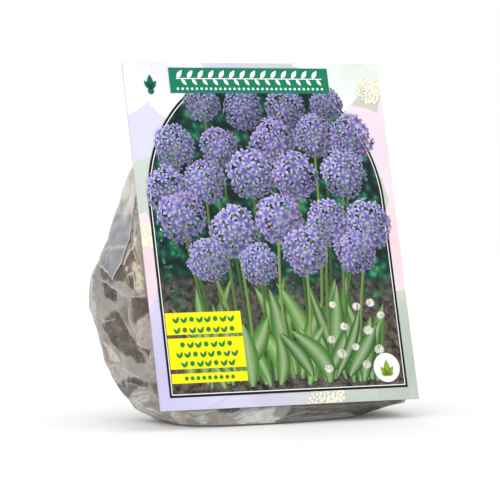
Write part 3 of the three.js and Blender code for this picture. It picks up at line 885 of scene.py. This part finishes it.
# Tissue soaked in glue: creamy white and half matt, with the tissue's fibres just seen.
tape = flecked("double-sided tape", 1.111, "#e9e5d8", "#f7f5ee", 0.55, 2.0)
for name in ("adhesive_strip_lower", "adhesive_strip_upper"):
    shape = bmesh.new()
    shape.from_mesh(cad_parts[name].data)
    bmesh.ops.remove_doubles(shape, verts=shape.verts, dist=1e-6)
    bmesh.ops.bevel(shape, geom=shape.edges, affect="EDGES", offset=0.00015, segments=1,
                    profile=0.5, material=-1)
    strip = object_from(name + "_tape", shape, tape, smooth=False)
    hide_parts(name)
    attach(strip, "root")

# Card board. A die-cut sheet of 0.5 mm board, coated on its front only. It is bare and
# greyish white on its back, grey on its cut edges, and held by the two strips of tape.
CARD_WIDTH, CARD_HEIGHT, CARD_THICKNESS = 165.0, 200.0, 0.5
GROUND_THICKNESS = 0.05
ON_CARD = MM @ Matrix.Translation((0, 0, CARD_FOOT)) @ Matrix.Rotation(-CARD_LEAN, 4, "X")

# Pressed paper pulp, matt and faintly cloudy. Its cut edge shows the darker core. Single
# fibres are too fine to show, so the marks are drawn coarser, at a millimetre and more.
board = flecked("uncoated white board", 1.4286, "#c9c6c6", "#dddbd8", 0.8)
cut_edge = flecked("cut edge of grey board", 1.111, "#8f8a92", "#b5b0b8", 0.9)
shape = bmesh.new()
bmesh.ops.create_cube(shape, size=1.0)
sides = (CARD_WIDTH, CARD_THICKNESS - GROUND_THICKNESS, CARD_HEIGHT)
middle = (0, (CARD_THICKNESS + GROUND_THICKNESS) / 2, CARD_HEIGHT / 2)
bmesh.ops.scale(shape, vec=sides, verts=shape.verts)
bmesh.ops.translate(shape, vec=middle, verts=shape.verts)
shape.transform(ON_CARD)
board_sheet = object_from("card_board", shape, board, smooth=False)
board_sheet.data.materials.append(cut_edge)
# The four narrow faces are the cut edges.
for face in board_sheet.data.polygons:
    face.material_index = 1 if face.area < 0.001 else 0
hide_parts("printed_card")
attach(board_sheet, "root")

# Printed ground. The board's face is printed to its edges in pale lavender that turns
# grey-green to the right, softly uneven like petals out of focus, under a satin varnish.
shape = bmesh.new()
bmesh.ops.create_cube(shape, size=1.0)
bmesh.ops.scale(shape, vec=(CARD_WIDTH, GROUND_THICKNESS, CARD_HEIGHT), verts=shape.verts)
bmesh.ops.translate(shape, vec=(0, GROUND_THICKNESS / 2, CARD_HEIGHT / 2), verts=shape.verts)
shape.transform(ON_CARD)

# Offset ink on a coated face: a clean pale tint with a soft sheen, in clouds of 45 mm. The
# screen's dots, a fifth of a millimetre apart, are too fine to show and aren't drawn.
ground_ink, tree, shader = finish_named("pastel offset ink on coated board")
place = add(tree, "ShaderNodeTexCoord").outputs["Object"]
cloud = add(tree, "ShaderNodeTexNoise", Vector=place, Scale=1000 / 45.455, Detail=2.0)
soft = add(tree, "ShaderNodeMapRange", Value=cloud.outputs["Fac"], _1=0.4, _2=0.6)
tint = add(tree, "ShaderNodeMix", {"data_type": "RGBA"}, _0=soft.outputs[0],
           _6=srgb("#cfcbe9"), _7=srgb("#dcdaf0"))
across = add(tree, "ShaderNodeSeparateXYZ", Vector=place).outputs["X"]
to_right = add(tree, "ShaderNodeMapRange", Value=across, _1=-0.03, _2=0.05)
tint = add(tree, "ShaderNodeMix", {"data_type": "RGBA"}, _0=to_right.outputs[0],
           _6=tint.outputs[2], _7=srgb("#cbd0c1"))
tree.links.new(tint.outputs[2], shader.inputs["Base Color"])
shader.inputs["Roughness"].default_value = 0.38
ground = object_from("card_ground", shape, ground_ink, smooth=False)
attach(ground, "root")

# Margin flowers. Large pale petals and leaves run off the card's edges round the picture,
# in white, pink and grey-green. All the flat print is ink about a hundredth of a mm thick.
INK_THICKNESS = 0.012
PETAL_STEP = 0.0028
UMBEL_LEVEL = 0.215
CUT_SIDE, CUT_TOP = CARD_WIDTH / 2 - 0.1, CARD_HEIGHT - 0.1
GOLDEN_TURN = 2.39996

# Offset ink under a satin varnish: full flat colour, with a soft broad sheen and no glare.
print_ink, tree, shader = finish_named("offset ink under satin varnish")
inks = add(tree, "ShaderNodeAttribute", {"attribute_name": "ink"}).outputs["Color"]
tree.links.new(inks, shader.inputs["Base Color"])
shader.inputs["Roughness"].default_value = 0.38
shader.inputs["Specular IOR Level"].default_value = 0.2


def flat_shape(shape, outline, level, colour):
    """A closed flat shape on the card from its outline's points (x, up), level mm proud.
    colour is one ink or a function of a point."""
    ink = shape.verts.layers.float_color.get("ink") or shape.verts.layers.float_color.new("ink")
    made = bmesh.ops.create_circle(shape, segments=len(outline), radius=1.0)["verts"]
    for v, (x, up) in zip(made, outline):
        v.co = Vector((x, -level, up))
    face = bmesh.ops.contextual_create(shape, geom=made)["faces"]
    grown = bmesh.ops.extrude_face_region(shape, geom=face, use_keep_orig=True)["geom"]
    top = [g for g in grown if isinstance(g, bmesh.types.BMVert)]
    bmesh.ops.translate(shape, vec=(0, -INK_THICKNESS, 0), verts=top)
    lid = [g for g in grown if isinstance(g, bmesh.types.BMFace)]
    if callable(colour):
        top += bmesh.ops.poke(shape, faces=lid)["verts"]
    for v in made + top:
        v[ink] = colour(v.co) if callable(colour) else colour
    return made + top


def petal_outline(x, up, turn, length, width, blunt=0.55, steps=22):
    """The outline of a petal that starts at a point and grows in the direction turn."""
    points = []
    for step in range(steps):
        round_it = 2 * math.pi * step / steps
        along = (1 - math.cos(round_it)) / 2
        across = math.sin(round_it) * (math.sin(math.pi * along**blunt) ** 0.6) / 2
        along, across = along * length, across * width
        points.append((x + along * math.cos(turn) - across * math.sin(turn),
                       up + along * math.sin(turn) + across * math.cos(turn)))
    return points


def print_object(name, shape, cut=True):
    """Trims a print to the card's edges, closes it and lays it on the card."""
    if cut:
        for point, away in (((-CUT_SIDE, 0, 0), (-1, 0, 0)), ((CUT_SIDE, 0, 0), (1, 0, 0)),
                            ((0, 0, 0.1), (0, 0, -1)), ((0, 0, CUT_TOP), (0, 0, 1))):
            bmesh.ops.bisect_plane(shape, geom=shape.verts[:] + shape.edges[:] + shape.faces[:],
                                   plane_co=point, plane_no=away, clear_outer=True)
            bmesh.ops.holes_fill(shape, edges=[e for e in shape.edges if e.is_boundary])
    bmesh.ops.recalc_face_normals(shape, faces=shape.faces)
    bmesh.ops.triangulate(shape, faces=[f for f in shape.faces if len(f.verts) > 4])
    shape.transform(ON_CARD)
    made = object_from(name, shape, print_ink, smooth=False)
    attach(made, "root")
    return made


# Heart of each flower (x, up), its petals, their length and width, and inner and outer ink.
MARGIN_FLOWERS = (
    ((-88, 118), 6, 34, 24, "#c9d3cb", "#d3dcd6"),
    ((88, 150), 6, 42, 22, "#ecd9e6", "#f3e4f0"),
    ((-66, 205), 7, 46, 30, "#e9e6f4", "#fdfcff"),
    ((66, 207), 6, 44, 25, "#dde6dd", "#f4faf7"),
    ((-90, 84), 5, 30, 26, "#f0cdd9", "#fae1e8"),
    ((92, 88), 6, 38, 30, "#f2d0da", "#fbe2e8"),
    ((90, 22), 7, 52, 34, "#b4bfb8", "#c9d1c8"),
    ((-92, 20), 6, 54, 40, "#c6c0e6", "#dcd8f2"),
    ((40, -14), 6, 36, 26, "#bcc8bc", "#cdd6cb"),
)
shape = bmesh.new()
draw = random.Random(31)
for order, ((x, up), petals, length, width, inner, outer) in enumerate(MARGIN_FLOWERS):
    start = draw.uniform(0, 2 * math.pi)
    for k in range(petals):
        turn = start + 2 * math.pi * k / petals + draw.uniform(-0.12, 0.12)
        heart = Vector((x, 0, up))
        inside, outside = srgb(inner), srgb(outer)
        shade = draw.uniform(-0.25, 0.1)
        long = length * draw.uniform(0.9, 1.1)
        level = PETAL_STEP * (order * 8 + k)
        flat_shape(
            shape, petal_outline(x, up, turn, long, width), level,
            lambda p: mixed(inside, outside, min(1.0, ((p - heart).length / length) + shade)),
        )
        for fan in (-0.2, -0.1, 0.0, 0.1, 0.2):
            flat_shape(
                shape, petal_outline(x, up, turn + fan, long * (0.86 - abs(fan)), 0.5, 0.5, 10),
                level + 0.002, mixed(inside, outside, 0.1),
            )
print_object("card_margin_flowers", shape)

# Domed heads of tiny cream florets lie over the petals, as cow parsley has them.
shape = bmesh.new()
ink = shape.verts.layers.float_color.new("ink")
for (x, up), wide in (((-78, 100), 9), ((22, 2), 12), ((76, 184), 10)):
    for k in range(64):
        far = wide * math.sqrt((k + 0.5) / 64)
        turn = k * GOLDEN_TURN
        size = draw.uniform(0.9, 1.5)
        made = bmesh.ops.create_icosphere(shape, subdivisions=1, radius=size)["verts"]
        tone = draw.random()
        spot = Vector((x + far * math.cos(turn), 0, up + 0.8 * far * math.sin(turn)))
        for v in made:
            lit = 0.5 + 0.5 * (v.co.z - v.co.y) / size
            cream = min(1.0, max(0.0, lit * 0.8 + tone * 0.4))
            v[ink] = mixed(srgb("#cdc79a"), srgb("#fbf8e6"), cream)
            v.co = Vector((v.co.x, v.co.y * 0.004 - UMBEL_LEVEL - 0.0003 * k, v.co.z)) + spot
print_object("card_cream_umbels", shape)

# The picture's backdrop. The picture is an arched window: shaded garden foliage out of
# focus above, brown earth between the leaf bases below, and a black rule with a white
# hairline round it.
ARCH_HALF_WIDTH, ARCH_FOOT, ARCH_SPRING, ARCH_RISE = 74.0, 9.0, 116.0, 79.0
WINDOW_LEVEL, RULE_LEVEL = 0.225, 0.236


def arch(grow, steps=72):
    """Points round the window, grown by some millimetres: straight sides and a round top."""
    wide, high = ARCH_HALF_WIDTH + grow, ARCH_RISE + grow
    turns = [math.pi * k / steps for k in range(steps + 1)]
    over = [(wide * math.cos(turn), ARCH_SPRING + high * math.sin(turn)) for turn in turns]
    return over + [(-wide, ARCH_FOOT - grow), (wide, ARCH_FOOT - grow)]


def in_arch(x, up, inset=0.0):
    """Whether a point lies inside the window, some millimetres from its edge."""
    wide, high = ARCH_HALF_WIDTH - inset, ARCH_RISE - inset
    if up < ARCH_FOOT + inset or abs(x) > wide:
        return False
    return up < ARCH_SPRING or (x / wide) ** 2 + ((up - ARCH_SPRING) / high) ** 2 < 1


shape = bmesh.new()
flat_shape(shape, arch(0.0), WINDOW_LEVEL, srgb("#000000"))

# The same ink and varnish, where a picture is printed: leaves of 5 and bushes of 17 mm in
# four dark greens above, and crumbs of earth of 4 mm below.
backdrop_ink, tree, shader = finish_named("offset ink, shaded foliage")
place = add(tree, "ShaderNodeTexCoord").outputs["Object"]
level = add(tree, "ShaderNodeSeparateXYZ", Vector=place).outputs["Z"]
leafy = add(tree, "ShaderNodeTexVoronoi", {"feature": "SMOOTH_F1"}, Vector=place,
            Scale=1000 / 5.263, Smoothness=0.6, Randomness=1.0)
bushy = add(tree, "ShaderNodeTexNoise", Vector=place, Scale=1000 / 16.667, Detail=5.0, Roughness=0.62)
blend = add(tree, "ShaderNodeMath", {"operation": "MULTIPLY_ADD"},
            _0=leafy.outputs["Distance"], _1=-0.55, _2=bushy.outputs["Fac"])
blend = add(tree, "ShaderNodeMath", {"operation": "ADD"}, _0=blend.outputs[0], _1=0.2)
greens = add(tree, "ShaderNodeValToRGB", Fac=blend.outputs[0])
LEAF_TINTS = ((0.36, "#08201f"), (0.5, "#12403a"), (0.6, "#1f6a4c"), (0.72, "#3f9a5d"))
for spot, (at, code) in enumerate(LEAF_TINTS):
    stop = greens.color_ramp.elements[spot] if spot < 2 else greens.color_ramp.elements.new(at)
    stop.position, stop.color = at, srgb(code)
crumbly = add(tree, "ShaderNodeTexNoise", Vector=place, Scale=1000 / 3.846,
               Detail=4.0, Roughness=0.7)
earth = add(tree, "ShaderNodeValToRGB", Fac=crumbly.outputs["Fac"])
for spot, (at, code) in enumerate(((0.38, "#1f1c1a"), (0.62, "#6b625a"))):
    earth.color_ramp.elements[spot].position = at
    earth.color_ramp.elements[spot].color = srgb(code)
wander = add(tree, "ShaderNodeMath", {"operation": "MULTIPLY_ADD"},
             _0=bushy.outputs["Fac"], _1=0.09, _2=level)
up_here = add(tree, "ShaderNodeMapRange", {"interpolation_type": "SMOOTHSTEP"},
              Value=wander.outputs[0], _1=0.105, _2=0.14)
tint = add(tree, "ShaderNodeMix", {"data_type": "RGBA"}, _0=up_here.outputs[0],
           _6=earth.outputs["Color"], _7=greens.outputs["Color"])
tree.links.new(tint.outputs[2], shader.inputs["Base Color"])
shader.inputs["Roughness"].default_value = 0.38
shader.inputs["Specular IOR Level"].default_value = 0.2
backdrop = print_object("card_picture_ground", shape, cut=False)
backdrop.data.materials[0] = backdrop_ink

# The rule and hairline are flat bands round the window.
shape = bmesh.new()
ink = shape.verts.layers.float_color.new("ink")
for inner, outer, code in ((0.0, 0.5, "#fbfbfb"), (0.5, 1.9, "#111111")):
    near_side, far_side = arch(inner), arch(outer)
    ring = bmesh.ops.create_circle(shape, segments=len(near_side), radius=1.0)["verts"]
    for v, (x, up) in zip(ring, near_side):
        v.co = Vector((x, -RULE_LEVEL, up))
    edges = list({e for v in ring for e in v.link_edges})
    outside, _ = drawn_out(shape, edges)
    for v in outside:
        spot = min(range(len(near_side)), key=lambda k: math.dist(near_side[k], (v.co.x, v.co.z)))
        v.co.x, v.co.z = far_side[spot]
    faces = list({f for v in outside for f in v.link_faces})
    grown = bmesh.ops.extrude_face_region(shape, geom=faces, use_keep_orig=True)["geom"]
    top = [g for g in grown if isinstance(g, bmesh.types.BMVert)]
    bmesh.ops.translate(shape, vec=(0, -INK_THICKNESS, 0), verts=top)
    for v in ring + outside + top:
        v[ink] = srgb(code)
print_object("card_picture_rule", shape, cut=False)

# The picture's plants. A generic border plant: round heads of small six-petalled stars on
# straight stems over broad leaves. It is modelled in the round in mm, shaded, and pressed
# flat as print.
FLATTEN, DEEPEST, PLANTS_LEVEL = 0.0016, 40.0, 0.25
GOLDEN_SHARE = 0.618034
SUN = Vector((-0.45, -0.6, 0.66)).normalized()
plants = bmesh.new()
ink = plants.verts.layers.float_color.new("ink")


def shaded(colour, normal, depth):
    """An ink with the picture's own daylight on it, darker towards the back."""
    light = 0.5 + 0.62 * max(0.0, normal.dot(SUN)) + 0.12 * max(0.0, normal.z)
    light *= 1.0 - 0.35 * ease(depth, 0, 30)
    return tuple(min(1.0, c * light) for c in colour[:3]) + (1.0,)


def template(name, shape):
    """Keeps a bmesh as a mesh that can be added many times."""
    bmesh.ops.recalc_face_normals(shape, faces=shape.faces)
    mesh = bpy.data.meshes.new(name)
    shape.to_mesh(mesh)
    shape.free()
    return mesh


def unit_rod(sides, steps):
    """A straight closed rod of unit radius, with a ring at each whole height."""
    rod = bmesh.new()
    ring = bmesh.ops.create_circle(rod, segments=sides, radius=1.0)["verts"]
    edges = rod.edges[:]
    bmesh.ops.contextual_create(rod, geom=ring)
    for _ in range(steps):
        ring, edges = drawn_out(rod, edges)
        bmesh.ops.translate(rod, vec=(0, 0, 1), verts=ring)
    bmesh.ops.contextual_create(rod, geom=ring)
    return template(f"rod_{sides}_{steps}", rod)


def added_verts(mesh):
    """Adds a copy of a template to the plants and gives back the copy's vertices."""
    before = len(plants.verts)
    plants.from_mesh(mesh)
    plants.verts.ensure_lookup_table()
    return plants.verts[before:]


def bend_rod(rod, path, width_at, thin, colour_at):
    """Lays a rod along a path. width_at and colour_at go from 0 at its foot to 1 at its tip."""
    steps = len(path) - 1
    for v in added_verts(rod):
        step = round(v.co.z)
        share = step / steps
        ahead = (path[min(step + 1, steps)] - path[max(step - 1, 0)]).normalized()
        side = Vector((ahead.z, 0, -ahead.x)).normalized()
        face = side.cross(ahead)
        across, out = v.co.x, v.co.y
        wide = max(width_at(share), 0.05)
        deep = max(wide * thin, 0.05)
        v.co = path[step] + side * across * wide + face * out * deep
        normal = (side * across / wide + face * out / deep).normalized()
        v[ink] = shaded(colour_at(share, across), normal, path[step].y)


def arc_path(foot, tip, bow, steps, near=0.0, far=0.0):
    """Points on a curve from foot to tip (x, up) that bows sideways, from near to far."""
    points = []
    for k in range(steps + 1):
        t = k / steps
        x = foot[0] + (tip[0] - foot[0]) * t**1.25 + bow * math.sin(math.pi * t)
        points.append(Vector((x, near + (far - near) * t, foot[1] + (tip[1] - foot[1]) * t)))
    return points


# Out of focus leaves far behind, which give the dark backdrop its leafy speckle.
draw = random.Random(44)
for k in range(420):
    x, up = draw.uniform(-72, 72), draw.uniform(66, 192)
    made = bmesh.ops.create_icosphere(plants, subdivisions=1, radius=1.0)["verts"]
    if not in_arch(x, up, 3.0):
        bmesh.ops.delete(plants, geom=made, context="VERTS")
        continue
    spin = Matrix.Rotation(draw.uniform(0, math.pi), 3, "Y")
    size = draw.uniform(0.9, 2.3)
    hue = mixed(srgb("#164b3c"), srgb("#3d9160"), draw.random() ** 1.6)
    for v in made:
        v[ink] = tuple(c * (0.75 + 0.35 * v.co.z) for c in hue[:3]) + (1.0,)
        v.co = spin @ Vector((v.co.x * size * 0.55, v.co.y, v.co.z * size)) + Vector((x, 36, up))

# Broad pointed leaves with a pale midrib cover the foot of the picture in a loose fan.
leaf_rod = unit_rod(8, 12)
for k in range(44):
    x = -64 + 128 * ((k * GOLDEN_SHARE) % 1.0)
    back = k % 2
    foot = (x * 0.9 + draw.uniform(-4, 4), 12 + draw.uniform(-1, 6))
    tall = draw.uniform(24, 40) + 20 * back
    lean = draw.uniform(-22, 22)
    tip = (max(-70.0, min(70.0, foot[0] + lean)), foot[1] + tall)
    wide = draw.uniform(3.4, 6.2)
    near = draw.uniform(-8, 4) + 16 * back
    hue = mixed(srgb("#2a5f2b"), srgb("#69a545"), draw.random())
    rib = mixed(hue, srgb("#cfe3b4"), 0.6)
    path = arc_path(foot, tip, draw.uniform(-5, 5), 12, near, near - 5)
    bend_rod(
        leaf_rod, path,
        lambda t: wide * math.sin(math.pi * min(1.0, 0.06 + 0.94 * t)) ** 0.8,
        0.22,
        lambda t, across: rib if abs(across) < 0.1 else hue,
    )

# One small star floret: six petals round a raised eye, on a cone so that it is closed.
shape = bmesh.new()
tone = shape.verts.layers.float.new("tone")
bmesh.ops.create_cone(shape, cap_ends=True, segments=24, radius1=1.0, radius2=0.34, depth=0.3)
for v in shape.verts:
    turn = math.atan2(v.co.y, v.co.x)
    far = math.hypot(v.co.x, v.co.y)
    petal = abs(math.cos(3 * turn))
    reach = 0.3 + 0.7 * petal**0.8 if far > 0.5 else 0.26
    lift = 0.22 * petal if far > 0.5 else 0.1
    v.co = Vector((math.cos(turn) * reach, math.sin(turn) * reach, lift))
    v[tone] = 0.55 + 0.45 * petal if far > 0.5 else 0.12
star = template("one_star", shape)
twig_rod, stem_rod = unit_rod(3, 1), unit_rod(6, 14)

DEEP, MAIN, LIGHT, ROSY = srgb("#4a4da0"), srgb("#9a97de"), srgb("#ddd6fa"), srgb("#dcbbea")
# Rows of heads: how high, how far back, their radius, and where across.
HEAD_ROWS = (
    (176, 26, 12.0, (-38, -10, 18, 44)),
    (154, 17, 13.0, (-57, -25, 5, 33, 60)),
    (130, 9, 14.0, (-62, -41, -10, 19, 48)),
    (106, 2, 14.5, (-58, -27, 4, 34, 62)),
    (84, -5, 12.5, (-44, -12, 20, 50)),
)
for up, near, radius, across in HEAD_ROWS:
    for x in across:
        heart = Vector((x + draw.uniform(-3, 3), near, up + draw.uniform(-5, 5)))
        radius_here = radius * draw.uniform(0.85, 1.08)
        foot = (x * 0.75 + draw.uniform(-4, 4), 16 + draw.uniform(0, 8))
        green = mixed(srgb("#3e6a35"), srgb("#86a65a"), draw.random())
        path = arc_path(foot, (heart.x, heart.z), draw.uniform(-4, 4), 14, near + 6, near)
        bend_rod(stem_rod, path, lambda t: 1.3 - 0.5 * t, 1.0, lambda t, a: green)
        blush = draw.uniform(0.0, 0.7)
        start = draw.uniform(0, 6.28)
        for k in range(56):
            level = 1 - 2 * (k + 0.5) / 56
            turn = start + k * GOLDEN_TURN
            flat = math.sqrt(1 - level * level)
            out = Vector((flat * math.cos(turn), flat * math.sin(turn), level))
            if out.y > 0.35:
                continue
            spot = heart + out * radius_here * draw.uniform(0.82, 1.06)
            twig = mixed(green, MAIN, 0.4)
            bend_rod(twig_rod, [heart, spot], lambda t: 0.3, 1.0, lambda t, a: twig)
            size = radius_here * draw.uniform(0.25, 0.36)
            aim = out + 0.25 * Vector((draw.uniform(-1, 1), -0.6, draw.uniform(-1, 1)))
            aim.normalize()
            roll = Matrix.Rotation(draw.uniform(0, 6.28), 3, "Z")
            pose = aim.to_track_quat("Z", "Y").to_matrix() @ roll
            bright = draw.uniform(0.85, 1.15)
            made = added_verts(star)
            tone = plants.verts.layers.float.get("tone")
            tips = mixed(LIGHT, ROSY, blush)
            for v in made:
                share = v[tone]
                if share < 0.5:
                    hue = mixed(DEEP, MAIN, share * 2)
                else:
                    hue = mixed(MAIN, tips, share * 2 - 1)
                v.co = pose @ (v.co * size) + spot
                v[ink] = shaded(tuple(c * bright for c in hue), aim, near + out.y * 8)

# White daisies with yellow eyes stand in a drift low on the right.
for k in range(12):
    x, up = 26 + 40 * ((k * GOLDEN_SHARE) % 1.0), 20 + 3.6 * k + draw.uniform(-3, 3)
    size = draw.uniform(2.4, 3.6)
    outline = []
    for step in range(48):
        turn = 2 * math.pi * step / 48
        far = size * (0.62 + 0.38 * abs(math.cos(6 * turn)) ** 0.6)
        outline.append((x + far * math.cos(turn + k), up + 0.85 * far * math.sin(turn + k)))
    flat_shape(plants, outline, 14.0, srgb("#f4f5f6"))
    made = bmesh.ops.create_icosphere(plants, subdivisions=1, radius=size * 0.3)["verts"]
    for v in made:
        v.co += Vector((x, -15.0, up))
        v[ink] = srgb("#e8c93a")

for v in plants.verts:
    v.co.y = -PLANTS_LEVEL - (DEEPEST - v.co.y) * FLATTEN
    v.co.x = min(CUT_SIDE - 0.1, max(0.1 - CUT_SIDE, v.co.x))
print_object("card_picture_plants", plants, cut=False)

# Banner and panels. A green banner lies across the window's crown and three yellow panels
# low on the left, printed over the picture. They carry rows of small leaves and dots.
PANEL_LEVEL, SIGN_LEVEL = 0.36, 0.38
PANELS = (
    ((-54.3, 48.2), (182.0, 197.0), "#0a7d5c"),
    ((-73.6, -26.4), (42.5, 55.0), "#ffee00"),
    ((-73.6, -26.4), (23.0, 40.5), "#ffee00"),
    ((-73.6, -26.4), (15.0, 20.5), "#ffee00"),
)
shape = bmesh.new()
for (left, right), (low, high), code in PANELS:
    corners = ((left, low), (right, low), (right, high), (left, high))
    flat_shape(shape, corners, PANEL_LEVEL, srgb(code))
print_object("card_label_panels", shape, cut=False)

shape = bmesh.new()
sign_green, sign_white = srgb("#1e8a3c"), srgb("#ffffff")


def sign_leaf(x, up, turn, length, colour):
    """A small pointed leaf that grows from a point in a direction in degrees."""
    outline = petal_outline(x, up, math.radians(turn), length, length * 0.46, 0.8, 14)
    flat_shape(shape, outline, SIGN_LEVEL, colour)


def round_outline(x, up, radius, steps):
    """The outline of a disc."""
    turns = [2 * math.pi * k / steps for k in range(steps)]
    return [(x + radius * math.cos(turn), up + radius * math.sin(turn)) for turn in turns]


def sign_dot(x, up, radius, colour):
    """A small disc."""
    flat_shape(shape, round_outline(x, up, radius, 16), SIGN_LEVEL, colour)


# A twig with a leaf on either side by turns runs along the banner, over a row of dots.
twig = ((-50, 190.325), (44, 190.325), (44, 190.875), (-50, 190.875))
flat_shape(shape, twig, SIGN_LEVEL, sign_white)
for k in range(14):
    sign_leaf(-49.5 + 6.7 * k, 190.9, 52, 6.0, sign_white)
    sign_leaf(-46.6 + 6.7 * k, 190.3, -52, 4.6, sign_white)
for k in range(32):
    sign_dot(-49.5 + 3.0 * k, 184.6, 0.75, sign_white)

# Three leaves on a dot stand beside the banner.
for turn in (90, 55, 125):
    sign_leaf(-66.5, 184.0, turn, 9.0 if turn == 90 else 6.5, srgb("#0a6b4c"))
sign_dot(-66.5, 183.2, 2.0, srgb("#0a6b4c"))

# Pairs of leaves with a dot after every two fill the panels, in rows of so many.
for row, (up, count) in enumerate(((50.9, 8), (44.9, 8), (36.6, 7), (31.1, 8), (25.8, 7))):
    for k in range(count):
        x = -50 + (k - (count - 1) / 2) * 4.9
        if (k + row) % 3 == 2:
            sign_dot(x, up + 0.2, 1.5, sign_green)
        else:
            sign_leaf(x, up - 1.9, 62, 4.4, sign_green)
            sign_leaf(x, up - 1.9, 122, 3.8, sign_green)
for k in range(9):
    sign_dot(-64.4 + 3.6 * k, 17.7, 1.2, sign_green)
print_object("card_label_signs", shape, cut=False)

# A round white tag low on the right carries one green sprig.
shape = bmesh.new()
flat_shape(shape, round_outline(63.5, 19, 8.5, 48), PANEL_LEVEL, srgb("#f7f8f4"))
for turn, length in ((90, 9.5), (52, 7.0), (128, 7.0), (20, 4.6), (160, 4.6)):
    sign_leaf(63.5, 14.2, turn, length, srgb("#8aa832"))
print_object("card_label_tag", shape, cut=False)
